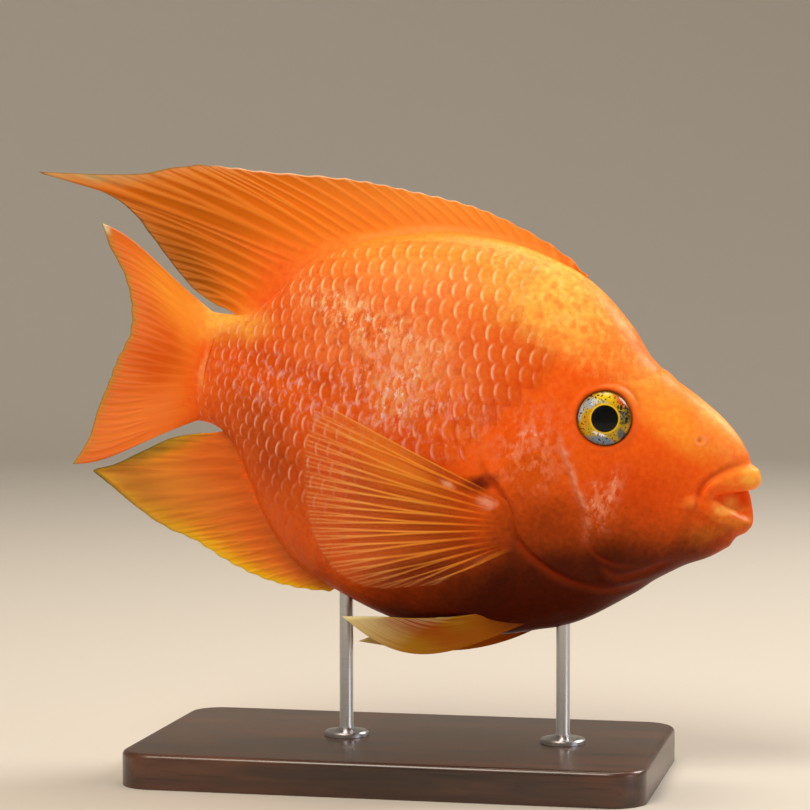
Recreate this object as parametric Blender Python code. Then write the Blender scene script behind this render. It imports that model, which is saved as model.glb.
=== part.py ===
# Blood parrot cichlid at life size, swimming nose down, held by a plain display stand.
# The fish is modelled in its own frame: +X runs forward along the body's axis, +Z up, the snout at
# the origin, and its right side towards -Y. An empty then tilts it nose down above the stand.

import math

import bmesh
import bpy
import numpy as np
from mathutils import Matrix, Vector
from mathutils.bvhtree import BVHTree

# Driving dimensions, in metres and degrees
GAP = 0.0003
SHARP_ANGLE = 40.0
SNOUT_PLACE = (0.1025, 0.0, 0.0872)
NOSE_DOWN = 11.0

# Seams of the body: height, then distance behind the snout
NECK_SEAM = [
    (-0.080, 0.026), (-0.048, 0.044), (-0.037, 0.050), (-0.028, 0.057), (-0.018, 0.0605),
    (-0.005, 0.067), (0.010, 0.069), (0.046, 0.0565), (0.080, 0.045),
]
STEM_SEAM = 0.151

# Body outlines: distance behind the snout, then height, or half the body's thickness
BACK = [
    (0.0046, 0.0064), (0.0077, 0.0101), (0.0112, 0.0131), (0.0210, 0.0191), (0.0307, 0.0238),
    (0.0374, 0.0282), (0.0430, 0.0345), (0.0500, 0.0408), (0.0588, 0.0463), (0.0740, 0.0510),
    (0.0920, 0.0525), (0.1100, 0.0498), (0.1270, 0.0438), (0.1410, 0.0345), (0.1490, 0.0236),
    (0.1550, 0.0174), (0.1620, 0.0157), (0.1700, 0.0153),
]
BELLY = [
    (0.0046, -0.0205), (0.0092, -0.0244), (0.0160, -0.0285), (0.0222, -0.0333), (0.0321, -0.0426),
    (0.0422, -0.0505), (0.0531, -0.0558), (0.0696, -0.0612), (0.0850, -0.0630), (0.1000, -0.0612),
    (0.1130, -0.0578), (0.1228, -0.0545), (0.1315, -0.0490), (0.1406, -0.0390), (0.1472, -0.0290),
    (0.1530, -0.0213), (0.1590, -0.0178), (0.1640, -0.0174), (0.1700, -0.0178),
]
HALF_WIDTH = [
    (0.0186, 0.0113), (0.0250, 0.0142), (0.0350, 0.0180), (0.0460, 0.0212), (0.0600, 0.0242),
    (0.0750, 0.0258), (0.0900, 0.0256), (0.1050, 0.0236), (0.1200, 0.0198), (0.1350, 0.0148),
    (0.1500, 0.0095), (0.1600, 0.0064), (0.1700, 0.0036),
]
WIDEST_HEIGHT = [
    (0.0186, -0.0080), (0.0460, -0.0070), (0.0750, -0.0100), (0.1050, -0.0120),
    (0.1350, -0.0080), (0.1700, -0.0035),
]
FACE_SWEEP = 0.0140
FACE_END = 0.0500
BACK_POINT = 1.12
TAIL_CAP = 0.0015

# Where the body's rings stand, behind the snout, and how many points go round each
HEAD_STATIONS = [
    0.0062, 0.0085, 0.0112, 0.0145, 0.0180, 0.0220, 0.0262, 0.0306, 0.0352, 0.0400, 0.0450, 0.0502,
]
TRUNK_STATIONS = [0.056 + 0.006 * i for i in range(12)] + [0.1265, 0.1310, 0.1355, 0.1400, 0.1445]
STEM_STATIONS = [0.1490, 0.1535, 0.1590, 0.1640, 0.1685]
AROUND = 32

# Rings of the mouth from its inside out: front distance, top, bottom, side distance, half width,
# side height, how sharply the ring's ends point up and down, and the rise of the lower lip's middle
MOUTH_POLE = (0.0112, -0.0068)
MOUTH_RINGS = [
    (0.0080, -0.0052, -0.0092, 0.0112, 0.0036, -0.0072, 1.3, 0.0020),
    (0.0026, -0.0038, -0.0109, 0.0108, 0.0062, -0.0070, 1.2, 0.0067),
    (0.0005, -0.0028, -0.0120, 0.0111, 0.0077, -0.0070, 1.25, 0.0040),
    (-0.0005, -0.0006, -0.0134, 0.0122, 0.0092, -0.0072, 1.2, 0.0010),
    (0.0008, 0.0024, -0.0156, 0.0140, 0.0101, -0.0077, 1.1, 0.0),
    (0.0032, 0.0038, -0.0176, 0.0156, 0.0099, -0.0082, 1.0, 0.0),
    (0.0046, 0.0064, -0.0204, 0.0178, 0.0112, -0.0080, 1.0, 0.0),
]
LIP_PEAK_ANGLE = math.radians(191)
LIP_PEAK_WIDTHS = math.radians(15), math.radians(45)


def smooth_curve(points):
    """A function that runs smoothly through (position, value, ...) rows."""
    rows = np.array(points, float)
    at, values = rows[:, 0], rows[:, 1:]
    slopes = np.gradient(values, at, axis=0)

    def value(x):
        x = min(max(x, at[0]), at[-1])
        i = min(int(np.searchsorted(at, x, side="right")) - 1, len(at) - 2)
        span = at[i + 1] - at[i]
        t = (x - at[i]) / span
        found = (
            (1 + 2 * t) * (1 - t) ** 2 * values[i]
            + t * (1 - t) ** 2 * span * slopes[i]
            + t * t * (3 - 2 * t) * values[i + 1]
            + t * t * (t - 1) * span * slopes[i + 1]
        )
        return float(found[0]) if len(found) == 1 else found

    return value


back = smooth_curve(BACK)
belly = smooth_curve(BELLY)
half_width = smooth_curve(HALF_WIDTH)
widest_height = smooth_curve(WIDEST_HEIGHT)
neck_seam = smooth_curve(NECK_SEAM)


def body_ring(station):
    """One row in the form of the mouth's rings, for the body at this distance behind the snout."""
    sweep = FACE_SWEEP * max(0.0, 1 - (station - BACK[0][0]) / (FACE_END - BACK[0][0]))
    side = station + sweep
    point = 1 + (BACK_POINT - 1) * min(1.0, station / FACE_END)
    return (station, back(station), belly(station), side, half_width(side), widest_height(side), point, 0.0)


def ring_points(ring):
    """Points round one ring, from the top down the right side and up the left one."""
    front, top, bottom, side, width, height, point, peak = ring
    points = []
    for step in range(AROUND):
        angle = 2 * math.pi * step / AROUND
        rise = math.copysign(abs(math.cos(angle)) ** point, math.cos(angle))
        out = math.sin(angle)
        z = height + rise * ((top - height) if rise > 0 else (height - bottom))
        from_peak = angle - LIP_PEAK_ANGLE
        z += peak * math.exp(-((from_peak / LIP_PEAK_WIDTHS[from_peak > 0]) ** 2))
        points.append(Vector((-(front + (side - front) * out * out), -width * out, z)))
    return points


def new_object(name, bm):
    bmesh.ops.recalc_face_normals(bm, faces=bm.faces)
    mesh = bpy.data.meshes.new(name)
    bm.to_mesh(mesh)
    bm.free()
    mesh.shade_smooth()
    mesh.set_sharp_from_angle(angle=math.radians(SHARP_ANGLE))
    thing = bpy.data.objects.new(name, mesh)
    bpy.context.scene.collection.objects.link(thing)
    return thing


def whole_body(name):
    """The fish without fins, eyes and gill covers: rings from inside the mouth to the tail fin's root."""
    stations = HEAD_STATIONS + TRUNK_STATIONS + STEM_STATIONS
    rings = MOUTH_RINGS + [body_ring(station) for station in stations]
    bm = bmesh.new()
    loops = [[bm.verts.new(p) for p in ring_points(ring)] for ring in rings]
    first = bm.verts.new((-MOUTH_POLE[0], 0, MOUTH_POLE[1]))
    last_ring = rings[-1]
    last = bm.verts.new((-last_ring[0] - TAIL_CAP, 0, (last_ring[1] + last_ring[2]) / 2))
    for step in range(AROUND):
        after = (step + 1) % AROUND
        bm.faces.new((first, loops[0][after], loops[0][step]))
        bm.faces.new((last, loops[-1][step], loops[-1][after]))
        for a, b in zip(loops, loops[1:]):
            bm.faces.new((a[step], a[after], b[after], b[step]))
    return new_object(name, bm)


def grown(source, name, by):
    """A copy with every point moved out along its normal."""
    thing = source.copy()
    thing.data = source.data.copy()
    thing.name = name
    bpy.context.scene.collection.objects.link(thing)
    normals = [v.normal.copy() for v in source.data.vertices]
    for vertex, normal in zip(thing.data.vertices, normals):
        vertex.co += normal * by
    return thing


def apply_boolean(thing, operation, tool):
    modifier = thing.modifiers.new(operation, "BOOLEAN")
    modifier.operation = operation
    modifier.solver = "EXACT"
    modifier.object = tool
    bpy.context.view_layer.update()
    made = bpy.data.meshes.new_from_object(thing.evaluated_get(bpy.context.evaluated_depsgraph_get()))
    thing.modifiers.clear()
    thing.data = made
    keep_largest(thing)


def keep_largest(thing):
    """Leaves only the largest closed surface, which drops loose scraps of a cut."""
    bm = bmesh.new()
    bm.from_mesh(thing.data)
    bmesh.ops.triangulate(bm, faces=bm.faces)
    left = set(bm.faces)
    shells = []
    while left:
        stack = [left.pop()]
        shell = list(stack)
        while stack:
            for edge in stack.pop().edges:
                for face in edge.link_faces:
                    if face in left:
                        left.remove(face)
                        stack.append(face)
                        shell.append(face)
        shells.append(shell)
    shells.sort(key=lambda shell: sum(face.calc_area() for face in shell))
    for shell in shells[:-1]:
        bmesh.ops.delete(bm, geom=shell, context="FACES")
    bm.to_mesh(thing.data)
    bm.free()
    thing.data.shade_smooth()
    thing.data.set_sharp_from_angle(angle=math.radians(SHARP_ANGLE))


# Cuts between head, trunk and tail stem: heights along the curved seam, and ends beyond the body
SEAM_HEIGHTS = [-0.078 + 0.004 * i for i in range(40)]
FAR_BEHIND, FAR_AHEAD, FAR_UP, FAR_SIDE = 0.19, -0.02, 0.08, 0.08


def slab(name, outline):
    """A prism that runs across the whole fish, from an outline of (distance behind, height) points."""
    bm = bmesh.new()
    near = [bm.verts.new((-x, -FAR_SIDE, z)) for x, z in outline]
    face = bm.faces.new(near)
    across = bmesh.ops.extrude_face_region(bm, geom=[face])
    moved = [v for v in across["geom"] if isinstance(v, bmesh.types.BMVert)]
    bmesh.ops.translate(bm, verts=moved, vec=(0, 2 * FAR_SIDE, 0))
    return new_object(name, bm)


def remove(*things):
    for thing in things:
        bpy.data.objects.remove(thing)


def seam_points(shift):
    return [(neck_seam(z) + shift, z) for z in SEAM_HEIGHTS]


def part_body(body):
    """Cuts the body into head, trunk and tail stem, a gap apart."""
    trunk_end, stem_start = STEM_SEAM - GAP / 2, STEM_SEAM + GAP / 2
    keepers = {
        "head": seam_points(-GAP / 2) + [(FAR_AHEAD, FAR_UP), (FAR_AHEAD, -FAR_UP)],
        "trunk": seam_points(GAP / 2) + [(trunk_end, FAR_UP), (trunk_end, -FAR_UP)],
        "tail_stem": [
            (stem_start, -FAR_UP), (stem_start, FAR_UP), (FAR_BEHIND, FAR_UP), (FAR_BEHIND, -FAR_UP),
        ],
    }
    parts = []
    for name, outline in keepers.items():
        part = grown(body, name, 0.0)
        keeper = slab("keeper", outline)
        apply_boolean(part, "INTERSECT", keeper)
        remove(keeper)
        parts.append(part)
    return parts


# Gill covers: a closed outline on the side of the head, its raise above the skin and its depth in it
GILL_OUTLINE = [
    (0.0590, 0.0070), (0.0665, 0.0085), (0.0730, 0.0040), (0.0755, -0.0040), (0.0728, -0.0110),
    (0.0672, -0.0158), (0.0636, -0.0212), (0.0618, -0.0266), (0.0580, -0.0308), (0.0530, -0.0342),
    (0.0475, -0.0366), (0.0418, -0.0370), (0.0400, -0.0318), (0.0428, -0.0250), (0.0456, -0.0170),
    (0.0500, -0.0080), (0.0542, 0.0000),
]
GILL_RAISE, GILL_DEPTH = 0.0008, 0.0016
GILL_CUT_HEIGHT = 0.004
GILL_RIM_STEPS = 32
GILL_SHRINKS = [1.0, 0.92, 0.62, 0.3]


def closed_curve(points, count):
    """Points spread evenly round a smooth closed curve through the given ones."""
    ring = points[-2:] + points + points[:3]
    rows = [(i - 2, *p) for i, p in enumerate(ring)]
    curve = smooth_curve(rows)
    return [curve(len(points) * i / count) for i in range(count)]


def on_skin(tree, behind, height, side):
    """The body's surface at this distance and height, and its normal. Side is -1 for the right."""
    place, normal, _, _ = tree.ray_cast(Vector((-behind, side * FAR_SIDE, height)), Vector((0, -side, 0)))
    return place, normal


def skin_plate(name, tree, outline, side, shrinks, raises, depth, spread=0.0):
    """A plate that follows the skin: its outline shrinks towards the middle in steps."""
    outline = [np.array(p) for p in outline]
    middle = sum(outline) / len(outline)
    bm = bmesh.new()
    levels = []
    for sign in (1, -1):
        rows = []
        for shrink, raised in zip(shrinks, raises):
            row = []
            for point in outline:
                away = point - middle
                away = away * (shrink + spread / np.linalg.norm(away))
                place, normal = on_skin(tree, *(middle + away), side)
                row.append(bm.verts.new(place + normal * (raised if sign > 0 else -depth)))
            rows.append(row)
        place, normal = on_skin(tree, *middle, side)
        centre = bm.verts.new(place + normal * (raises[-1] if sign > 0 else -depth))
        levels.append((rows, centre))
    for (rows, centre), turn in zip(levels, (1, -1)):
        for i in range(len(outline)):
            j = (i + 1) % len(outline)
            for a, b in zip(rows, rows[1:]):
                quad = (a[i], a[j], b[j], b[i])
                bm.faces.new(quad[::turn])
            tip = (rows[-1][i], rows[-1][j], centre)
            bm.faces.new(tip[::turn])
    outer, inner = levels[0][0][0], levels[1][0][0]
    for i in range(len(outline)):
        j = (i + 1) % len(outline)
        bm.faces.new((outer[j], outer[i], inner[i], inner[j]))
    return new_object(name, bm)


# Eyes: place on the side of the head, radius across, depth to each side, and how far the middle is sunk
EYE_PLACE = (0.0444, 0.0093)
EYE_RADIUS, EYE_DEPTH, EYE_SUNK = 0.0079, 0.0046, 0.0015
EYE_FORWARD, EYE_UPWARD = 0.20, 0.10
EYE_AROUND, EYE_RINGS = 22, 10


def eyeball(name, tree, side, growth=0.0):
    place, _ = on_skin(tree, *EYE_PLACE, side)
    looking = Vector((EYE_FORWARD, side, EYE_UPWARD)).normalized()
    move = Matrix.Translation(place - looking * EYE_SUNK)
    turn = looking.to_track_quat("Z", "Y").to_matrix().to_4x4()
    stretch = Matrix.Diagonal((EYE_RADIUS + growth, EYE_RADIUS + growth, EYE_DEPTH + growth, 1))
    bm = bmesh.new()
    bmesh.ops.create_uvsphere(bm, u_segments=EYE_AROUND, v_segments=EYE_RINGS, radius=1.0)
    bmesh.ops.transform(bm, verts=bm.verts, matrix=move @ turn @ stretch)
    return new_object(name, bm)


# Nostrils: one pit on each side of the snout, narrower at its bottom
NOSTRIL_PLACE = (0.0178, 0.0080)
NOSTRIL_RADIUS, NOSTRIL_BOTTOM_RADIUS, NOSTRIL_DEPTH = 0.0006, 0.00036, 0.0016
NOSTRIL_SEGMENTS = 8


def nostril_cutter(tree, side):
    place, normal = on_skin(tree, *NOSTRIL_PLACE, side)
    turn = normal.to_track_quat("Z", "Y").to_matrix().to_4x4()
    bm = bmesh.new()
    bmesh.ops.create_cone(
        bm, cap_ends=True, segments=NOSTRIL_SEGMENTS, radius1=NOSTRIL_BOTTOM_RADIUS,
        radius2=NOSTRIL_RADIUS, depth=2 * NOSTRIL_DEPTH, matrix=Matrix.Translation(place) @ turn,
    )
    return new_object("nostril_cutter", bm)


# Fins: each ray is a ridge on a thin membrane, and the foot is fleshy over the first quarter. A fin's
# thicknesses are those of its foot and of a ray's start and end, and a notch is how far the membrane
# falls short of the rays at the margin.
RAY_FOOT = 0.28
MEMBRANE = 0.0005
FLESHY_SHARE = 0.25


def ray_columns(rays):
    """Positions along the fin in rays, and whether each is a ridge, for a ridge on a flat web."""
    columns = [(0.0, True)]
    for k in range(rays - 1):
        columns += [(k + RAY_FOOT, False), (k + 1 - RAY_FOOT, False), (k + 1.0, True)]
    return columns


def fin(name, rays, rows, thicks, notch, root, tip, bend):
    """A closed fin. Root and tip give a point for each share from first to last ray; bend shapes rays."""
    root_thick, ray_thick, tip_thick = thicks
    columns = ray_columns(rays)
    middle = np.zeros((len(columns), rows + 1, 3))
    thick = np.zeros((len(columns), rows + 1))
    for i, (at, ridge) in enumerate(columns):
        share = at / (rays - 1)
        foot, end = np.array(root(share)), np.array(tip(share))
        if not ridge:
            end = end - (end - foot) / np.linalg.norm(end - foot) * notch
        for j in range(rows + 1):
            out = j / rows
            middle[i, j] = foot + (end - foot) * out + np.array(bend(share, out))
            web = MEMBRANE + (root_thick - MEMBRANE) * max(0.0, 1 - out / FLESHY_SHARE) ** 2
            stiff = ray_thick + (tip_thick - ray_thick) * out
            thick[i, j] = max(web, stiff) if ridge else web
    along = np.gradient(middle, axis=0)
    outward = np.gradient(middle, axis=1)
    normal = np.cross(along, outward)
    normal /= np.linalg.norm(normal, axis=2, keepdims=True)
    faces = [middle + normal * thick[..., None] / 2, middle - normal * thick[..., None] / 2]
    bm = bmesh.new()
    sheets = [[[bm.verts.new(p) for p in column] for column in face] for face in faces]
    for sheet, turn in zip(sheets, (1, -1)):
        for i in range(len(columns) - 1):
            for j in range(rows):
                a, b, c, d = sheet[i][j], sheet[i + 1][j], sheet[i + 1][j + 1], sheet[i][j + 1]
                bm.faces.new((a, b, c)[::turn])
                bm.faces.new((a, c, d)[::turn])
    one, two = sheets
    last = len(columns) - 1
    rim = [(i, 0) for i in range(last)] + [(last, j) for j in range(rows)]
    rim += [(i, rows) for i in range(last, 0, -1)] + [(0, j) for j in range(rows, 0, -1)]
    for (i, j), (k, m) in zip(rim, rim[1:] + rim[:1]):
        bm.faces.new((one[k][m], one[i][j], two[i][j], two[k][m]))
    return new_object(name, bm)


# Median fins: rows of share from first to last ray, distance behind the snout, height. A fin sways to
# each side in waves, and its rays bow in its own plane.
MEDIAN_NOTCH = 0.0006
ROOT_SINK = 0.0020
DORSAL_RAYS, DORSAL_ROWS = 28, 6
DORSAL_THICKS = 0.0026, 0.0013, 0.0006
DORSAL_FRONT, DORSAL_REAR = 0.0600, 0.1555
DORSAL_SWAY, DORSAL_WAVES, DORSAL_BOW = 0.0012, 9, 0.0020
DORSAL_TIP_SHARE = 18 / 27
DORSAL_TOP_EDGE = [
    (0.0, 0.0590, 0.0468), (0.05, 0.0640, 0.0502), (0.14, 0.0749, 0.0549), (0.25, 0.0936, 0.0597),
    (0.36, 0.1140, 0.0610), (0.46, 0.1359, 0.0608), (0.53, 0.1598, 0.0583), (0.58, 0.1735, 0.0573),
    (0.62, 0.1839, 0.0552), (0.645, 0.2000, 0.0498), (0.6667, 0.2268, 0.0455),
]
DORSAL_REAR_EDGE = [
    (0.6667, 0.2268, 0.0452), (0.685, 0.2132, 0.0446), (0.705, 0.2026, 0.0424), (0.73, 0.1952, 0.0386),
    (0.76, 0.1900, 0.0342), (0.84, 0.1815, 0.0268), (0.92, 0.1736, 0.0208), (1.0, 0.1655, 0.0172),
]


def two_edges(first, second, share_between):
    """A function that follows one edge to a sharp tip and then another."""
    one, two = smooth_curve(first), smooth_curve(second)
    return lambda share: one(share) if share <= share_between else two(share)


def dorsal_fin():
    edge = two_edges(DORSAL_TOP_EDGE, DORSAL_REAR_EDGE, DORSAL_TIP_SHARE)

    def root(share):
        behind = DORSAL_FRONT + (DORSAL_REAR - DORSAL_FRONT) * share
        return (-behind, 0, back(behind) - ROOT_SINK)

    def tip(share):
        behind, height = edge(share)
        return (-behind, 0, height)

    def bend(share, out):
        sway = DORSAL_SWAY * math.sin(DORSAL_WAVES * share) * out * out
        return (0, sway, DORSAL_BOW * share * math.sin(math.pi * out))

    return fin("dorsal_fin", DORSAL_RAYS, DORSAL_ROWS, DORSAL_THICKS, MEDIAN_NOTCH, root, tip, bend)


CAUDAL_RAYS, CAUDAL_ROWS = 16, 5
CAUDAL_THICKS = 0.0040, 0.0014, 0.0006
CAUDAL_SWAY, CAUDAL_WAVES, CAUDAL_BOW, CAUDAL_BOW_OUT = 0.0016, 5, 0.0020, 2.2
CAUDAL_ROOT = [(0.0, 0.1640, 0.0135), (0.5, 0.1675, -0.0015), (1.0, 0.1640, -0.0162)]
CAUDAL_TIP = [
    (0.0, 0.2050, 0.0342), (0.06, 0.2018, 0.0287), (0.15, 0.1962, 0.0220), (0.30, 0.1912, 0.0125),
    (0.42, 0.1897, 0.0045), (0.55, 0.1920, -0.0045), (0.68, 0.1934, -0.0122), (0.80, 0.1953, -0.0208),
    (0.92, 0.1968, -0.0300), (1.0, 0.2002, -0.0378),
]


def caudal_fin():
    foot, edge = smooth_curve(CAUDAL_ROOT), smooth_curve(CAUDAL_TIP)

    def root(share):
        behind, height = foot(share)
        return (-behind, 0, height)

    def tip(share):
        behind, height = edge(share)
        return (-behind, 0, height)

    def bend(share, out):
        sway = CAUDAL_SWAY * out * out * math.cos(CAUDAL_WAVES * share)
        bow = CAUDAL_BOW * (1 - 2 * share) * math.sin(math.pi * out ** CAUDAL_BOW_OUT)
        return (0, sway, bow)

    return fin("caudal_fin", CAUDAL_RAYS, CAUDAL_ROWS, CAUDAL_THICKS, MEDIAN_NOTCH, root, tip, bend)


ANAL_RAYS, ANAL_ROWS = 17, 5
ANAL_THICKS = 0.0024, 0.0013, 0.0006
ANAL_FRONT, ANAL_REAR = 0.1120, 0.1535
ANAL_SWAY, ANAL_WAVES, ANAL_BOW = 0.0012, 8, 0.0008
ANAL_TIP_SHARE = 13 / 16
ANAL_LOW_EDGE = [
    (0.0, 0.1160, -0.0583), (0.10, 0.1240, -0.0592), (0.25, 0.1360, -0.0588), (0.40, 0.1480, -0.0562),
    (0.55, 0.1600, -0.0522), (0.66, 0.1700, -0.0500), (0.75, 0.1800, -0.0455), (0.8125, 0.1935, -0.0384),
]
ANAL_REAR_EDGE = [
    (0.8125, 0.1935, -0.0380), (0.85, 0.1872, -0.0350), (0.90, 0.1790, -0.0291), (0.95, 0.1708, -0.0235),
    (1.0, 0.1630, -0.0206),
]


def anal_fin():
    edge = two_edges(ANAL_LOW_EDGE, ANAL_REAR_EDGE, ANAL_TIP_SHARE)

    def root(share):
        behind = ANAL_FRONT + (ANAL_REAR - ANAL_FRONT) * share
        return (-behind, 0, belly(behind) + ROOT_SINK)

    def tip(share):
        behind, height = edge(share)
        return (-behind, 0, height)

    def bend(share, out):
        sway = -ANAL_SWAY * math.sin(ANAL_WAVES * share) * out * out
        return (0, sway, -ANAL_BOW * share * math.sin(math.pi * out))

    return fin("anal_fin", ANAL_RAYS, ANAL_ROWS, ANAL_THICKS, MEDIAN_NOTCH, root, tip, bend)


# Paired fins: rows of share, distance behind the snout, height, distance from the midplane
PECTORAL_RAYS, PECTORAL_ROWS = 13, 6
PECTORAL_THICKS = 0.0024, 0.0012, 0.0005
PECTORAL_ROOT = [
    (0.0, 0.0665, -0.0185, 0.0240), (0.5, 0.0668, -0.0250, 0.0237), (1.0, 0.0662, -0.0325, 0.0218),
]
PECTORAL_TIP = [
    (0.0, 0.1197, -0.0014, 0.0350), (0.08, 0.1227, -0.0048, 0.0355), (0.18, 0.1233, -0.0121, 0.0360),
    (0.30, 0.1223, -0.0204, 0.0360), (0.42, 0.1204, -0.0286, 0.0356), (0.54, 0.1180, -0.0353, 0.0350),
    (0.66, 0.1139, -0.0416, 0.0342), (0.78, 0.1070, -0.0476, 0.0330), (0.89, 0.0968, -0.0493, 0.0316),
    (1.0, 0.0800, -0.0450, 0.0288),
]
PECTORAL_BULGE, PECTORAL_BULGE_OUT = 0.0040, 0.7
PECTORAL_RIPPLE, PECTORAL_WAVES = 0.0006, 12
PECTORAL_NOTCH = 0.0006


def pectoral_fin(word, side):
    foot, edge = smooth_curve(PECTORAL_ROOT), smooth_curve(PECTORAL_TIP)

    def root(share):
        behind, height, out = foot(share)
        return (-behind, side * out, height)

    def tip(share):
        behind, height, out = edge(share)
        return (-behind, side * out, height)

    def bend(share, out):
        bulge = PECTORAL_BULGE * math.sin(math.pi * out ** PECTORAL_BULGE_OUT)
        ripple = PECTORAL_RIPPLE * math.sin(PECTORAL_WAVES * share) * out
        return (0, side * (bulge + ripple), 0)

    name = f"pectoral_fin_{word}"
    return fin(name, PECTORAL_RAYS, PECTORAL_ROWS, PECTORAL_THICKS, PECTORAL_NOTCH, root, tip, bend)


# The right pelvic fin is folded up along the belly, and the left one hangs lower. A fin sags most where
# the share out along its rays, to the second power given, is a half.
PELVIC_RAYS, PELVIC_ROWS = 5, 8
PELVIC_THICKS = 0.0012, 0.0010, 0.0006
PELVIC_NOTCH = 0.0002
PELVIC_ROOT = [(0.0, 0.0470, -0.0488, 0.0060), (1.0, 0.0640, -0.0525, 0.0110)]
PELVIC_TIP = [
    (0.0, 0.1079, -0.0620, 0.0150), (0.25, 0.1028, -0.0609, 0.0148), (0.5, 0.0965, -0.0596, 0.0146),
    (0.75, 0.0890, -0.0584, 0.0144), (1.0, 0.0800, -0.0564, 0.0142),
]
PELVIC_SAG = {"right": (0.0118, 1.3), "left": (0.0085, 0.8)}
PELVIC_DROP = {"right": 0.0, "left": 0.0115}
PELVIC_DROP_FALL = 0.75
PELVIC_BULGE = 0.0012


def pelvic_fin(word, side):
    foot, edge = smooth_curve(PELVIC_ROOT), smooth_curve(PELVIC_TIP)
    deepest, sag_out = PELVIC_SAG[word]

    def root(share):
        behind, height, out = foot(share)
        return (-behind, side * out, height)

    def tip(share):
        behind, height, out = edge(share)
        return (-behind, side * out, height - PELVIC_DROP[word] * (1 - PELVIC_DROP_FALL * share))

    def bend(share, out):
        sag = deepest * (1 - share) * math.sin(math.pi * out ** sag_out)
        return (0, side * PELVIC_BULGE * math.sin(math.pi * out), -sag)

    name = f"pelvic_fin_{word}"
    return fin(name, PELVIC_RAYS, PELVIC_ROWS, PELVIC_THICKS, PELVIC_NOTCH, root, tip, bend)


# Display stand, in the world's frame
BASE_SIZE = (0.150, 0.086, 0.010)
BASE_CORNER, BASE_EDGE = 0.010, 0.0015
CORNER_STEPS, EDGE_STEPS = 5, 2
ROD_RADIUS, ROD_FOOT_RADIUS, ROD_FOOT_HEIGHT = 0.0020, 0.0065, 0.0014
ROD_COLLAR_WIDTH, ROD_COLLAR_LOW, ROD_COLLAR_HIGH = 0.0012, 0.0004, 0.0018
ROD_PLACES = {"stand_rod_front": 0.0465, "stand_rod_rear": -0.0175}
ROD_TOP = 0.060
ROD_STEPS = 16
MERGE = 0.000001


def stand_base():
    bm = bmesh.new()
    bmesh.ops.create_cube(bm, size=1.0)
    bmesh.ops.scale(bm, verts=bm.verts, vec=BASE_SIZE)
    bmesh.ops.translate(bm, verts=bm.verts, vec=(0, 0, BASE_SIZE[2] / 2))
    upright = [e for e in bm.edges if abs(e.verts[0].co.z - e.verts[1].co.z) > BASE_SIZE[2] / 2]
    bmesh.ops.bevel(
        bm, geom=upright, offset=BASE_CORNER, segments=CORNER_STEPS, profile=0.5, affect="EDGES",
    )
    top = [e for e in bm.edges if all(v.co.z > BASE_SIZE[2] - MERGE for v in e.verts)]
    bmesh.ops.bevel(bm, geom=top, offset=BASE_EDGE, segments=EDGE_STEPS, profile=0.5, affect="EDGES")
    return new_object("stand_base", bm)


def stand_rod(name, along):
    """A turned rod on a foot disc, cut to the belly's shape at its top."""
    bottom = BASE_SIZE[2] + GAP
    foot_top = bottom + ROD_FOOT_HEIGHT
    profile = [
        (0, bottom), (ROD_FOOT_RADIUS, bottom), (ROD_FOOT_RADIUS, foot_top),
        (ROD_RADIUS + ROD_COLLAR_WIDTH, foot_top + ROD_COLLAR_LOW),
        (ROD_RADIUS, foot_top + ROD_COLLAR_HIGH), (ROD_RADIUS, ROD_TOP), (0, ROD_TOP),
    ]
    bm = bmesh.new()
    line = [bm.verts.new((r, 0, z)) for r, z in profile]
    edges = [bm.edges.new(pair) for pair in zip(line, line[1:])]
    bmesh.ops.spin(
        bm, geom=line + edges, cent=(0, 0, 0), axis=(0, 0, 1), angle=2 * math.pi, steps=ROD_STEPS,
        use_merge=True,
    )
    bmesh.ops.remove_doubles(bm, verts=bm.verts, dist=MERGE)
    bmesh.ops.translate(bm, verts=bm.verts, vec=(along, 0, 0))
    return new_object(name, bm)


# Finishes: colour, roughness and how metallic
FINISHES = {
    "orange_skin": ((0.85, 0.20, 0.03), 0.4, 0.0),
    "fin_membrane": ((0.85, 0.28, 0.04), 0.45, 0.0),
    "eye_glass": ((0.35, 0.30, 0.10), 0.1, 0.0),
    "dark_wood": ((0.06, 0.035, 0.02), 0.4, 0.0),
    "brushed_steel": ((0.6, 0.6, 0.6), 0.35, 1.0),
}


def paint(things, name):
    """Gives the things one finish."""
    colour, roughness, metallic = FINISHES[name]
    finish = bpy.data.materials.new(name)
    finish.use_nodes = True
    shader = finish.node_tree.nodes["Principled BSDF"]
    shader.inputs["Base Color"].default_value = (*colour, 1)
    shader.inputs["Roughness"].default_value = roughness
    shader.inputs["Metallic"].default_value = metallic
    finish.diffuse_color = (*colour, 1)
    for thing in things:
        thing.data.materials.clear()
        thing.data.materials.append(finish)


def gill_cover(tree, word, side, head, trunk):
    """One gill cover, with its seat cut a gap deeper and wider in head and trunk."""
    rim = closed_curve(GILL_OUTLINE, GILL_RIM_STEPS)
    raises = [0.0] + [GILL_RAISE] * (len(GILL_SHRINKS) - 1)
    cover = skin_plate(f"gill_cover_{word}", tree, rim, side, GILL_SHRINKS, raises, GILL_DEPTH)
    over = [GILL_CUT_HEIGHT] * len(raises)
    seat = skin_plate("gill_seat", tree, rim, side, GILL_SHRINKS, over, GILL_DEPTH + GAP, GAP)
    apply_boolean(head, "DIFFERENCE", seat)
    apply_boolean(trunk, "DIFFERENCE", seat)
    remove(seat)
    return cover


def eye(tree, word, side, head):
    """One eye, with its socket cut a gap larger and the nostril cut in front of it."""
    socket = eyeball("socket", tree, side, GAP)
    pit = nostril_cutter(tree, side)
    apply_boolean(head, "DIFFERENCE", socket)
    apply_boolean(head, "DIFFERENCE", pit)
    remove(socket, pit)
    return eyeball(f"eye_{word}", tree, side)


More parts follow.
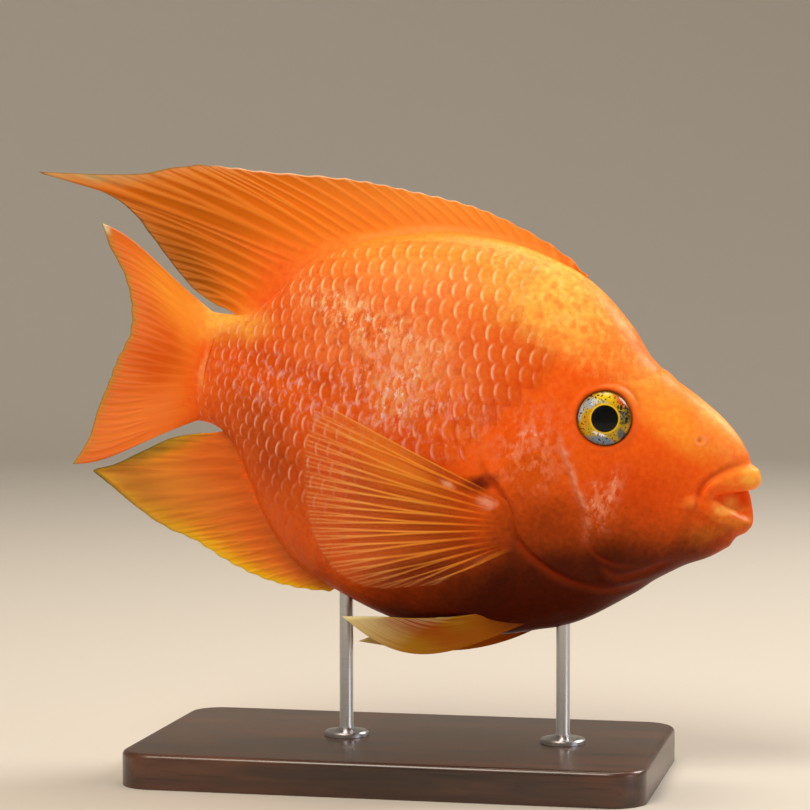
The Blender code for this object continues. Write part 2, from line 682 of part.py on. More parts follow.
def main():
    for thing in list(bpy.data.objects):
        bpy.data.objects.remove(thing)
    body = whole_body("body_guide")
    tree = BVHTree.FromObject(body, bpy.context.evaluated_depsgraph_get())
    around_body = grown(body, "around_body", GAP)
    head, trunk, tail_stem = part_body(body)
    flesh, eyes, fins = [head, trunk, tail_stem], [], [dorsal_fin(), caudal_fin(), anal_fin()]
    for side, word in ((-1, "right"), (1, "left")):
        flesh.append(gill_cover(tree, word, side, head, trunk))
        eyes.append(eye(tree, word, side, head))
        fins += [pectoral_fin(word, side), pelvic_fin(word, side)]
    for one in fins:
        apply_boolean(one, "DIFFERENCE", around_body)

    pose = bpy.data.objects.new("fish_pose", None)
    bpy.context.scene.collection.objects.link(pose)
    pose.location = SNOUT_PLACE
    pose.rotation_euler = (0, math.radians(NOSE_DOWN), 0)
    for thing in flesh + eyes + fins + [around_body]:
        thing.parent = pose
    base = stand_base()
    rods = [stand_rod(name, along) for name, along in ROD_PLACES.items()]
    for rod in rods:
        apply_boolean(rod, "DIFFERENCE", around_body)
    remove(body, around_body)

    paint(flesh, "orange_skin")
    paint(fins, "fin_membrane")
    paint(eyes, "eye_glass")
    paint([base], "dark_wood")
    paint(rods, "brushed_steel")


main()
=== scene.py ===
# Blood parrot cichlid as a life-size display model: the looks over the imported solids.
# Lengths are in metres. The fish is shaped in its own frame, with +X forward along its body, +Z up, its
# right side towards -Y and the snout at the origin. fishPlace then hangs each piece over the stand.

import math
from functools import partial

import bmesh
import bpy
import numpy as np
from mathutils import Matrix, Vector
from mathutils.bvhtree import BVHTree


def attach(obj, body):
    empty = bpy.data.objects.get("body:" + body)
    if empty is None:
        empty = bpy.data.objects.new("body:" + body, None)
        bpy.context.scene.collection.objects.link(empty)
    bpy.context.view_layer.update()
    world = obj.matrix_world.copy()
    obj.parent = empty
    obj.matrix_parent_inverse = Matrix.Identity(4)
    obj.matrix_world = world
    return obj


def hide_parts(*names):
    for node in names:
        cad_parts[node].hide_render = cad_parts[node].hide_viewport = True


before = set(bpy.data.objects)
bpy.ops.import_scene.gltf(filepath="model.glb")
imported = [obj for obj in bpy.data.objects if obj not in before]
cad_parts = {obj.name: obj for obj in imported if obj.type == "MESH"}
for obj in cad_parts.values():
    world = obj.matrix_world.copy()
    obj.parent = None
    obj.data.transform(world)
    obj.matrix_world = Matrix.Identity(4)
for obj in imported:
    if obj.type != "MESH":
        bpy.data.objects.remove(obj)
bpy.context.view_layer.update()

fishPose = {"snout": (0.1025, 0.0, 0.0872), "noseDown": 11.0}
fishTurn = math.radians(fishPose["noseDown"])
fishPlace = Matrix.Translation(fishPose["snout"]) @ Matrix.Rotation(fishTurn, 4, "Y")
sides = {"Right": -1, "Left": 1}


# Small helpers

def smoothStep(x, low, high):
    t = np.clip((x - low) / (high - low), 0, 1)
    return t * t * (3 - 2 * t)


def bell(distance, width):
    return np.exp(-(distance / width) ** 2)


def smoothCurve(rows):
    # a function that runs smoothly through (position, value, ...) rows, for one position or many
    rows = np.array(rows, float)
    at, values = rows[:, 0], rows[:, 1:]
    slopes = np.gradient(values, at, axis=0)

    def value(x):
        x = np.clip(np.asarray(x, float), at[0], at[-1])
        i = np.clip(np.searchsorted(at, x, side="right") - 1, 0, len(at) - 2)
        span = (at[i + 1] - at[i])[..., None]
        t = (x - at[i])[..., None] / span
        found = (1 + 2 * t) * (1 - t) ** 2 * values[i] + t * (1 - t) ** 2 * span * slopes[i]
        found = found + t * t * (3 - 2 * t) * values[i + 1] + t * t * (t - 1) * span * slopes[i + 1]
        return found[..., 0] if values.shape[1] == 1 else found

    return value


def inWorld(points):
    # points of the fish's frame, as rows, moved to where the fish hangs
    turn = np.array(fishPlace.to_3x3())
    return np.asarray(points) @ turn.T + np.array(fishPose["snout"])


def inFish(point):
    return fishPlace.inverted() @ Vector(point)


def addObject(name, data):
    thing = bpy.data.objects.new(name, data)
    bpy.context.scene.collection.objects.link(thing)
    return thing


def meshPiece(name, bm, sharp=None, mesh=None):
    # the bmesh as a smooth piece, with sharp edges where it turns by more than the angle, in degrees
    mesh = mesh or bpy.data.meshes.new(name)
    bm.to_mesh(mesh)
    bm.free()
    mesh.shade_smooth()
    if sharp:
        mesh.set_sharp_from_angle(angle=math.radians(sharp))
    return addObject(name, mesh)


def newPiece(name, points, faces):
    mesh = bpy.data.meshes.new(name)
    mesh.from_pydata([tuple(p) for p in points], [], faces)
    mesh.validate()
    bm = bmesh.new()
    bm.from_mesh(mesh)
    bmesh.ops.recalc_face_normals(bm, faces=bm.faces)
    return meshPiece(name, bm, mesh=mesh)


def turned(profile, steps):
    # a profile of (radius, height) turned about the upright axis, as a bmesh
    bm = bmesh.new()
    line = [bm.verts.new((r, 0, z)) for r, z in profile]
    edges = [bm.edges.new(pair) for pair in zip(line, line[1:])]
    bmesh.ops.spin(bm, geom=line + edges, cent=(0, 0, 0), axis=(0, 0, 1), angle=2 * math.pi, steps=steps,
                   use_merge=True)
    bmesh.ops.remove_doubles(bm, verts=bm.verts, dist=1e-6)
    return bm


def addAttribute(mesh, name, values, kind="FLOAT"):
    layer = mesh.attributes.new(name, kind, "POINT")
    key = "vector" if kind == "FLOAT_VECTOR" else "value"
    layer.data.foreach_set(key, np.asarray(values, np.float32).ravel())


def addUV(mesh, name, spots):
    # one UV for each point of the mesh
    layer = mesh.uv_layers.new(name=name)
    corners = np.empty(len(mesh.loops), np.int32)
    mesh.loops.foreach_get("vertex_index", corners)
    layer.data.foreach_set("uv", np.asarray(spots, np.float32)[corners].ravel())


def gridFaces(rows, columns, closed=False):
    # quads between rows of points; closed, each row is a ring, and the two points after them close the ends
    faces = []
    for i in range(rows - 1):
        for j in range(columns if closed else columns - 1):
            a, k = i * columns, (j + 1) % columns
            faces.append((a + j, a + k, a + columns + k, a + columns + j))
    if closed:
        count, last = rows * columns, (rows - 1) * columns
        for j in range(columns):
            k = (j + 1) % columns
            faces += [(count, k, j), (count + 1, last + j, last + k)]
    return faces


def sheetFaces(rows, columns):
    # a thin closed sheet: rows of points above, the same below, and the rim between them
    count = rows * columns
    faces = gridFaces(rows, columns)
    faces += [tuple(count + i for i in face[::-1]) for face in faces]
    grid = np.arange(count).reshape(rows, columns)
    rim = np.concatenate([grid[:, 0], grid[-1, 1:], grid[-2::-1, -1], grid[0, -2:0:-1]]).tolist()
    return faces + [(b, a, count + a, count + b) for a, b in zip(rim, rim[1:] + rim[:1])]


def hexColour(code):
    # an sRGB hex value as the linear colour that the shaders take
    parts = [int(code[i:i + 2], 16) / 255 for i in (1, 3, 5)]
    return (*[p / 12.92 if p <= 0.04045 else ((p + 0.055) / 1.055) ** 2.4 for p in parts], 1.0)


def setInputs(node, inputs):
    # each input is another node's output, a value or a hex colour, by its socket's name or in their order
    for name, value in inputs.items() if isinstance(inputs, dict) else enumerate(inputs):
        if isinstance(value, bpy.types.NodeSocket):
            node.id_data.links.new(value, node.inputs[name])
        else:
            node.inputs[name].default_value = hexColour(value) if str(value).startswith("#") else value


def addNode(tree, kind, inputs=(), out=0, stops=(), **settings):
    # a node with its settings and inputs; stops are a ramp's, as (position, hex colour or grey)
    node = tree.nodes.new(kind if "Node" in kind else f"ShaderNode{kind}")
    for name, value in settings.items():
        setattr(node, name, value)
    if stops:
        ramp = node.color_ramp.elements
        ramp[0].position, ramp[1].position = stops[0][0], stops[-1][0]
        for at, _ in stops[1:-1]:
            ramp.new(at)
        for element, (_, code) in zip(ramp, stops):
            element.color = hexColour(code) if isinstance(code, str) else (code, code, code, 1)
    setInputs(node, inputs)
    return node if out is None else node.outputs[out]


# settings that many nodes share
times = {"operation": "MULTIPLY"}
smooth = {"interpolation_type": "SMOOTHSTEP"}


# The camera comes first: the photograph's angle, a little from the front, just above level

view = {"azimuth": 12.0, "elevation": 3.0, "distance": 0.80, "lens": 122.7, "sensor": 36.0,
        "aim": (0, 0, 0.107)}


def addCamera():
    turn, lift = math.radians(view["azimuth"]), math.radians(view["elevation"])
    back = Vector((math.sin(turn) * math.cos(lift), -math.cos(turn) * math.cos(lift), math.sin(lift)))
    data = bpy.data.cameras.new("camera")
    data.lens, data.sensor_width = view["lens"], view["sensor"]
    camera = addObject("camera", data)
    camera.location = Vector(view["aim"]) + back * view["distance"]
    camera.rotation_euler = back.to_track_quat("Z", "Y").to_euler()
    bpy.context.scene.camera = camera


addCamera()
print("camera set")


# The body's form: rows of distance behind the snout, then height, or half the body's thickness

bodyForm = {
    "back": [
        (0.0046, 0.0064), (0.0077, 0.0101), (0.0112, 0.0131), (0.021, 0.0191), (0.0307, 0.0238),
        (0.0374, 0.0282), (0.043, 0.0345), (0.05, 0.0408), (0.0588, 0.0463), (0.074, 0.051),
        (0.092, 0.0525), (0.11, 0.0498), (0.127, 0.0438), (0.141, 0.0345), (0.149, 0.0236),
        (0.155, 0.0174), (0.162, 0.0157), (0.17, 0.0153),
    ],
    "belly": [
        (0.0046, -0.0205), (0.0092, -0.0244), (0.016, -0.0285), (0.0222, -0.0333), (0.0321, -0.0426),
        (0.0422, -0.0505), (0.0531, -0.0558), (0.0696, -0.0612), (0.085, -0.063), (0.1, -0.0612),
        (0.113, -0.0578), (0.1228, -0.0545), (0.1315, -0.049), (0.1406, -0.039), (0.1472, -0.029),
        (0.153, -0.0213), (0.159, -0.0178), (0.164, -0.0174), (0.17, -0.0178),
    ],
    "halfWidth": [
        (0.0186, 0.0113), (0.025, 0.0142), (0.035, 0.018), (0.046, 0.0212), (0.06, 0.0242),
        (0.075, 0.0258), (0.09, 0.0256), (0.105, 0.0236), (0.12, 0.0198), (0.135, 0.0148),
        (0.15, 0.0095), (0.16, 0.006), (0.17, 0.0018),
    ],
    "widest": [
        (0.0186, -0.008), (0.046, -0.007), (0.075, -0.01), (0.105, -0.012), (0.135, -0.008),
        (0.17, -0.0035),
    ],
    "sweep": 0.014, "sweepStart": 0.0046, "sweepEnd": 0.05, "backPoint": 1.12,
    # rings of the mouth from its inside out: front distance, top, bottom, side distance, half width,
    # side height, how sharply the ends point up and down, and the rise of the lower lip's middle
    "mouthPole": (0.0074, -0.0062),
    "mouth": [
        (0.0056, -0.005, -0.0098, 0.0104, 0.004, -0.0072, 1.3, 0.0045),
        (0.0026, -0.004, -0.0109, 0.0108, 0.0062, -0.007, 1.2, 0.0069),
        (0.0005, -0.0028, -0.012, 0.0111, 0.0077, -0.007, 1.25, 0.004),
        (-0.0005, -0.0006, -0.0134, 0.0122, 0.0092, -0.0072, 1.2, 0.001),
        (0.0008, 0.0024, -0.0156, 0.014, 0.0101, -0.0077, 1.1, 0.0),
        (0.0032, 0.0038, -0.0176, 0.0156, 0.0099, -0.0082, 1.0, 0.0),
        (0.0046, 0.0064, -0.0204, 0.0178, 0.0112, -0.008, 1.0, 0.0),
    ],
    "lipPeak": math.radians(191), "lipPeakWidths": (math.radians(15), math.radians(45)),
}
skinMesh = {"around": 320, "sideShare": 0.8, "lipSteps": 7, "headStep": 0.0005, "headEnd": 0.078,
            "trunkStep": 0.0018, "end": 0.1685, "coatDepth": 0.0003, "tailCap": 0.0015}

back = smoothCurve(bodyForm["back"])
belly = smoothCurve(bodyForm["belly"])
halfWidth = smoothCurve(bodyForm["halfWidth"])
widest = smoothCurve(bodyForm["widest"])


def bodyRings(stations):
    # rows in the form of the mouth's rings, for the body at these distances behind the snout
    stations = np.asarray(stations, float)
    swept = (stations - bodyForm["sweepStart"]) / (bodyForm["sweepEnd"] - bodyForm["sweepStart"])
    side = stations + bodyForm["sweep"] * np.maximum(0, 1 - swept)
    point = 1 + (bodyForm["backPoint"] - 1) * np.minimum(1, stations / bodyForm["sweepEnd"])
    return np.stack([
        stations, back(stations), belly(stations), side, halfWidth(side), widest(side), point,
        np.zeros_like(stations),
    ], axis=1)


def ringPoints(rings, angles):
    # points of each ring, from the top down the right side and up the left one
    front, top, bottom, side, width, height, point, peak = (rings[:, i:i + 1] for i in range(8))
    lift, out = np.cos(angles)[None], np.sin(angles)[None]
    rise = np.sign(lift) * np.abs(lift) ** point
    z = height + rise * np.where(rise > 0, top - height, height - bottom)
    fromPeak = (angles - bodyForm["lipPeak"])[None]
    near, far = bodyForm["lipPeakWidths"]
    z = z + peak * bell(fromPeak, np.where(fromPeak > 0, far, near))
    return np.stack([-(front + (side - front) * out ** 2), -width * out, z], axis=2)


def skinSurface():
    # the smooth body: its points ring by ring, and its faces, closed in the mouth and at the tail
    mouth = bodyForm["mouth"]
    lips = smoothCurve([(i, *ring) for i, ring in enumerate(mouth)])
    lipRings = lips(np.linspace(0, len(mouth) - 1, (len(mouth) - 1) * skinMesh["lipSteps"] + 1))
    head = np.arange(bodyForm["sweepStart"] + skinMesh["headStep"], skinMesh["headEnd"], skinMesh["headStep"])
    trunk = np.arange(skinMesh["headEnd"], skinMesh["end"], skinMesh["trunkStep"])
    rings = np.vstack([lipRings, bodyRings(np.concatenate([head, trunk]))])
    turn = np.linspace(0, 2 * math.pi, 4001)
    guide = ringPoints(bodyRings([eyes["place"][0]]), turn)[0]   # the ring at the eyes spaces the points
    steps = np.linalg.norm(np.diff(guide, axis=0), axis=1)
    length = np.concatenate([[0], np.cumsum(steps * (1 + skinMesh["sideShare"] * np.sin(turn[1:]) ** 2))])
    angles = np.interp(np.linspace(0, length[-1], skinMesh["around"] + 1)[:-1], length, turn)
    grid = ringPoints(rings, angles)
    aft, top, bottom = rings[-1][:3]
    ends = [(-bodyForm["mouthPole"][0], 0, bodyForm["mouthPole"][1]),
            (-aft - skinMesh["tailCap"], 0, (top + bottom) / 2)]
    return np.vstack([grid.reshape(-1, 3), ends]), gridFaces(*grid.shape[:2], closed=True)


# The skin's own forms, cut and raised in the smooth body. Lines are (distance behind, height) on the side.

# dark is how much painted shade lies in each crease's groove
creases = {
    # the fold in front of the gill cover, with a soft swelling on the cheek's side
    "cheekFold": {
        "line": [(0.0585, 0.006), (0.0555, 0.0012), (0.0532, -0.0026), (0.0503, -0.0077), (0.0469, -0.0142),
                 (0.044, -0.0195), (0.0428, -0.025), (0.0392, -0.0291), (0.0327, -0.031),
                 (0.0248, -0.0297)],
        "depth": 0.0003, "width": 0.0007, "swell": 0.0005, "swellWidth": 0.0022, "side": -1, "dark": 0.5,
        "fades": (0.25, 0.2), "pale": (0.0006, 0.0009, -0.025, -0.015),
    },
    # the crease over the upper lip, down to the mouth's corner
    "lipCrease": {
        "line": [(0.003, 0.0046), (0.0055, 0.0033), (0.0089, 0.0018), (0.0129, -0.0017), (0.0149, -0.0055),
                 (0.0148, -0.009)],
        "depth": 0.0005, "width": 0.0008, "swell": 0.0005, "swellWidth": 0.0017, "side": -1, "dark": 0.7,
        "fades": (0.55, 0.12),
    },
    "chinCrease": {
        "line": [(0.003, -0.0158), (0.006, -0.0152), (0.0102, -0.0142), (0.015, -0.0128), (0.018, -0.0108)],
        "depth": 0.00025, "width": 0.001, "swell": 0.0004, "swellWidth": 0.0018, "side": 1, "dark": 0.2,
        "fades": (0.4, 0.3),
    },
    # the fold of skin over the eye
    "browFold": {
        "line": [(0.052, 0.015), (0.0493, 0.0172), (0.0455, 0.019), (0.0414, 0.0189), (0.038, 0.017),
                 (0.0358, 0.014), (0.0345, 0.0096)],
        "depth": 0.0003, "width": 0.0006, "swell": 0.0004, "swellWidth": 0.0016, "side": 1, "dark": 0.4,
        "fades": (0.25, 0.35),
    },
    # where the nape meets the head
    "napeFold": {
        "line": [(0.0325, 0.0265), (0.035, 0.0237), (0.0374, 0.0218), (0.041, 0.0207), (0.045, 0.0204),
                 (0.05, 0.019)],
        "depth": 0.0002, "width": 0.001, "swell": 0.0003, "swellWidth": 0.003, "side": -1, "dark": 0.2,
        "fades": (0.05, 0.35),
    },
    # folds of the throat, under the gill covers
    "throatFold": {
        "line": [(0.0384, -0.0315), (0.0333, -0.0345), (0.0272, -0.0323), (0.0227, -0.0294),
                 (0.0171, -0.0262)],
        "depth": 0.0004, "width": 0.0008, "swell": 0.0004, "swellWidth": 0.0014, "side": 1, "dark": 0.4,
        "fades": (0.15, 0.3),
    },
    "throatFoldLow": {
        "line": [(0.043, -0.0385), (0.036, -0.0392), (0.03, -0.0372), (0.024, -0.0335)],
        "depth": 0.0003, "width": 0.0008, "swell": 0.0003, "swellWidth": 0.0014, "side": 1, "dark": 0.4,
        "fades": (0.2, 0.3),
    },
}
gillEdge = {  # the free edge of the gill cover, from its upper corner down and forward under the cheek
    "line": [(0.064, 0.0095), (0.0705, 0.0062), (0.0748, -0.001), (0.0748, -0.0062), (0.0728, -0.011),
             (0.0672, -0.0158), (0.0636, -0.0212), (0.0618, -0.0266), (0.058, -0.0308), (0.053, -0.0342),
             (0.0475, -0.0366), (0.04, -0.0378), (0.0322, -0.0358)],
    "raise": 0.0008, "reach": 0.007, "drop": 0.0007, "groove": 0.0008, "grooveWidth": 0.0013,
    "topFades": (0.24, 0.42), "endFade": 0.25,
}
swellings = [  # distance behind, height, half length, half height, raise
    (0.0168, -0.0096, 0.0018, 0.0017, 0.0015),   # the small fold at the corner of the mouth
    (0.0125, -0.0105, 0.004, 0.0022, 0.0005),   # the lower lip's side
    (0.0695, -0.025, 0.006, 0.0095, 0.0016),   # the fleshy root of the pectoral fin
]
nostrils = {"place": (0.0178, 0.008), "radius": 0.0006, "depth": 0.0008, "rim": 0.00014}
eyes = {"place": (0.0444, 0.0093), "radius": 0.0079, "depth": 0.0046, "sunk": 0.0015, "forward": 0.2,
        "upward": 0.1, "hollow": 0.0032, "hollowEdge": (0.0002, -0.0016), "collar": 0.00055,
        "collarOut": 0.0006, "collarWidth": 0.0011, "around": 96, "rings": 48}


def nearLine(line, aft, height, samples=80, block=20000):
    # signed distance from each spot to a smooth line, and its share along the line
    path = smoothCurve([(i, *p) for i, p in enumerate(line)])(np.linspace(0, len(line) - 1, samples))
    start, along = path[:-1], np.diff(path, axis=0)
    signed, share = np.empty(len(aft)), np.empty(len(aft))
    for first in range(0, len(aft), block):   # in blocks, to keep the arrays small
        rows = slice(first, first + block)
        spots = np.stack([aft[rows], height[rows]], axis=1)[:, None]
        t = np.clip(((spots - start) * along).sum(2) / (along ** 2).sum(1), 0, 1)
        away = spots - (start + t[..., None] * along)
        distance = np.linalg.norm(away, axis=2)
        best = distance.argmin(1)
        pick = np.arange(len(best))
        cross = along[best, 0] * away[pick, best, 1] - along[best, 1] * away[pick, best, 0]
        signed[rows] = distance[pick, best] * np.sign(cross)
        share[rows] = (best + t[pick, best]) / (samples - 1)
    return signed, share


def eyeAxis(tree, side):
    # the middle of an eye on the skin, and the way it looks
    aft, height = eyes["place"]
    spot, _, _, _ = tree.ray_cast(Vector((-aft, side * 0.1, height)), Vector((0, -side, 0)))
    return spot, Vector((eyes["forward"], side, eyes["upward"])).normalized()


def shapeSkin(points, tree):
    # how far each point of the smooth body moves out, how much painted shade it gets in creases and hollows,
    # and where folds are pale
    aft, height = -points[:, 0], points[:, 2]
    moved, dark, pale = np.zeros((3, len(points)))
    for crease in creases.values():
        distance, share = nearLine(crease["line"], aft, height)
        fade = smoothStep(share, 0.0, crease["fades"][0]) * smoothStep(1 - share, 0.0, crease["fades"][1])
        groove = bell(distance, crease["width"]) * fade
        swell = bell(distance - crease["side"] * crease["swellWidth"], crease["swellWidth"]) * fade
        moved += crease["swell"] * swell - crease["depth"] * groove
        # painted shade along the crease's groove
        dark = np.maximum(dark, crease["dark"] * groove)
        if "pale" in crease:
            offset, width, low, high = crease["pale"]
            pale = np.maximum(pale, bell(distance + offset, width) * fade * smoothStep(height, low, high))
    distance, share = nearLine(gillEdge["line"], aft, height)
    drop = gillEdge["drop"]
    fade = smoothStep(share, *gillEdge["topFades"]) * smoothStep(1 - share, 0.0, gillEdge["endFade"])
    inside = smoothStep(distance, drop, -drop) * bell(np.minimum(distance, 0), gillEdge["reach"])
    behind = bell(distance - 1.1 * drop, gillEdge["grooveWidth"]) * (1 - inside)
    moved += (gillEdge["raise"] * inside - gillEdge["groove"] * behind) * fade
    # painted shade in the groove behind the gill cover's edge
    dark = np.maximum(dark, behind * fade)
    for x, z, length, rise, lift in swellings:
        moved += lift * bell(np.hypot((aft - x) / length, (height - z) / rise), 1.0)
    for side in sides.values():
        ours = points[:, 1] * side > 0
        spot, looking = eyeAxis(tree, side)
        away = points - np.array(spot)
        away -= np.outer(away @ np.array(looking), looking)
        past = np.linalg.norm(away, axis=1) - eyes["radius"]
        collar = bell(past - eyes["collarOut"], eyes["collarWidth"])
        hollow = smoothStep(past, *eyes["hollowEdge"])
        moved += ours * (eyes["collar"] * collar - (eyes["hollow"] + eyes["collar"]) * hollow)
        # a ring of painted shade where the skin meets the eye
        dark = np.maximum(dark, 0.8 * ours * bell(past + eyes["collarOut"] / 2, eyes["collarOut"]))
        reach = np.hypot(aft - nostrils["place"][0], height - nostrils["place"][1])
        radius = nostrils["radius"]
        pit = bell(reach, radius)
        moved += ours * (nostrils["rim"] * bell(reach - 2 * radius, radius) - nostrils["depth"] * pit)
        # painted shade in the nostril's pit
        dark = np.maximum(dark, 0.4 * ours * pit)
        pale = np.maximum(pale, 0.4 * ours * bell(reach - 2 * radius, 0.7 * radius))
    return moved, dark, pale


# Where the scales start: height, then distance behind the snout
scaleFront = smoothCurve([
    (-0.063, 0.05), (-0.046, 0.049), (-0.038, 0.052), (-0.03, 0.0605), (-0.022, 0.065), (-0.016, 0.069),
    (-0.012, 0.072), (-0.008, 0.067), (-0.004, 0.064), (0.0, 0.0625), (0.006, 0.061), (0.0115, 0.059),
    (0.0165, 0.056), (0.0215, 0.052), (0.025, 0.0475), (0.0285, 0.044), (0.04, 0.043), (0.055, 0.043),
])


def coatCover(aft, height):
    # 0 on the bare skin to 1 where the scales have their full depth
    return smoothStep(aft - scaleFront(height), -0.0005, 0.005)


def pointNormals(mesh):
    normals = np.empty(len(mesh.vertices) * 3)
    mesh.vertices.foreach_get("normal", normals)
    return normals.reshape(-1, 3)


def makeSkin():
    points, faces = skinSurface()
    body = newPiece("skin", points, faces)
    tree = BVHTree.FromPolygons([tuple(p) for p in points], faces)
    moved, dark, pale = shapeSkin(points, tree)
    moved -= skinMesh["coatDepth"] * coatCover(-points[:, 0], points[:, 2])
    shaped = inWorld(points + pointNormals(body.data) * moved[:, None])
    body.data.vertices.foreach_set("co", shaped.ravel())
    body.data.update()
    # the painted shade of creases, eye rims, nostrils and the gill cover's groove, for the skin's colour
    addAttribute(body.data, "crease", dark)
    addAttribute(body.data, "paleFold", pale)
    addAttribute(body.data, "outwards", pointNormals(body.data), "FLOAT_VECTOR")
    return body, tree


skin, bodyTree = makeSkin()
print(f"skin shaped: {len(skin.data.polygons)} faces")


# The scales: rows along each side, each scale overlapping the next one behind it

scales = {
    # distance behind, then the row spacing, the pitch along a row, and the height of the middle row
    "spacing": [(0.03, 0.003), (0.045, 0.0037), (0.06, 0.0046), (0.075, 0.0055), (0.095, 0.0058),
                (0.12, 0.0054), (0.14, 0.0047), (0.155, 0.004), (0.17, 0.0034)],
    "pitch": [(0.03, 0.0024), (0.05, 0.003), (0.065, 0.0037), (0.08, 0.0041), (0.105, 0.0041),
              (0.125, 0.0037), (0.14, 0.0033), (0.155, 0.0028), (0.17, 0.0024)],
    "middle": [(0.03, 0.01), (0.06, 0.004), (0.085, -0.002), (0.12, -0.0045), (0.15, -0.0035),
               (0.17, -0.0035)],
    "end": 0.1675, "rows": 13, "overlap": 1.04, "breadth": 0.78, "edgeGap": 0.0012, "leastRelief": 0.24,
    "sharp": 40, "unwrap": 0.17,   # the length that the bake's map spans
    # one scale: along it from root to rear edge with its half breadth there, and its points across
    "outline": [(-1, 0.62), (-0.45, 0.9), (0.05, 1), (0.45, 0.96), (0.74, 0.8), (0.92, 0.52), (1, 0.22)],
    "across": [-1, -0.6, -0.2, 0.2, 0.6, 1],
    "nodes": {"Root Depth": -0.00012, "Rear Lift": 0.00012, "Thickness": 0.00004, "Jitter": 0.08, "Seed": 5,
              "Patch": 0.003},
}


def scalePlate():
    # one scale, a thin closed plate: x from -1 at its root to 1 at its rounded rear edge, y across
    top = [(x, width * y, 1.0) for x, width in scales["outline"] for y in scales["across"]]
    points = top + [(x, y, 0.0) for x, y, _ in top]
    plate = newPiece("scalePlate", points, sheetFaces(len(scales["outline"]), len(scales["across"])))
    addAttribute(plate.data, "local", points, "FLOAT_VECTOR")
    plate.hide_render = True
    return plate


def rowSpot(station, row):
    # a spot on the right side, this many row spacings above the middle row, and its share round the body
    ring = ringPoints(bodyRings([station]), np.linspace(0, math.pi, 241))[0]
    length = np.concatenate([[0], np.cumsum(np.linalg.norm(np.diff(ring, axis=0), axis=1))])
    middle = np.interp(-float(rowMiddle(station)), -ring[:, 2], length)
    at = middle - row * float(rowSpacing(station))
    if not scales["edgeGap"] < at < length[-1] - scales["edgeGap"]:
        return None, 0.0
    return np.array([np.interp(at, length, ring[:, i]) for i in range(3)]), at / length[-1]


rowSpacing, rowPitch, rowMiddle = (smoothCurve(scales[part]) for part in ("spacing", "pitch", "middle"))


def scaleRelief(spot):
    # 0, under the skin, to 1: how far a scale stands out; the nape's, breast's and tail's hardly do
    aft, height = -spot[0], spot[2]
    front = smoothStep(aft - scaleFront(height), 0.001, 0.026 - 0.014 * smoothStep(height, -0.005, 0.018))
    under = smoothStep(height - belly(aft), 0.017, 0.037) + 0.7 * smoothStep(aft, 0.095, 0.125)
    over = smoothStep(back(aft) - height, -0.001, 0.007)
    nape = smoothStep(np.hypot((aft - 0.050) / 0.024, (height - 0.037) / 0.016), 0.75, 1.25)
    tail = 1 - 0.6 * smoothStep(aft, 0.155, 0.168)
    return float(front * min(1, under) * over * (0.34 + 0.66 * nape) * tail)


def scaleRoots():
    # middle, way along the row, (half length, half breadth, relief) and place on an unwrap of each scale
    found = []
    station = scales["spacing"][0][0]
    while station < scales["end"]:
        pitch = float(rowPitch(station))
        for row in range(-scales["rows"], scales["rows"] + 1):
            at = station + (pitch / 2 if row % 2 else 0.0)
            spot, around = rowSpot(at, row)
            if spot is None or -spot[0] < float(scaleFront(spot[2])):
                continue
            ahead, behind = (rowSpot(at + step, row)[0] for step in (-0.001, 0.001))
            if ahead is None or behind is None:
                continue
            relief = scaleRelief(spot)
            if relief > scales["leastRelief"]:
                size = (pitch * scales["overlap"], float(rowSpacing(at)) * scales["breadth"], relief)
                found.append((spot, behind - ahead, size, (at / scales["unwrap"], around / 2, 0)))
        station += pitch
    return found


def scaleCoat(name, side):
    # points with the sizes of one side's scales, for the nodes to set the plates on
    spots, ways, sizes, patches = (np.array(part) for part in zip(*scaleRoots()))
    flip = np.array([1, -side, 1])
    mesh = bpy.data.meshes.new(name)
    mesh.from_pydata([tuple(p) for p in inWorld(spots * flip)], [], [])
    ways = (ways * flip) @ np.array(fishPlace.to_3x3()).T
    for label, values in {"way": ways, "plateSize": sizes, "rootSpot": patches}.items():
        addAttribute(mesh, label, values, "FLOAT_VECTOR")
    return addObject(name, mesh)


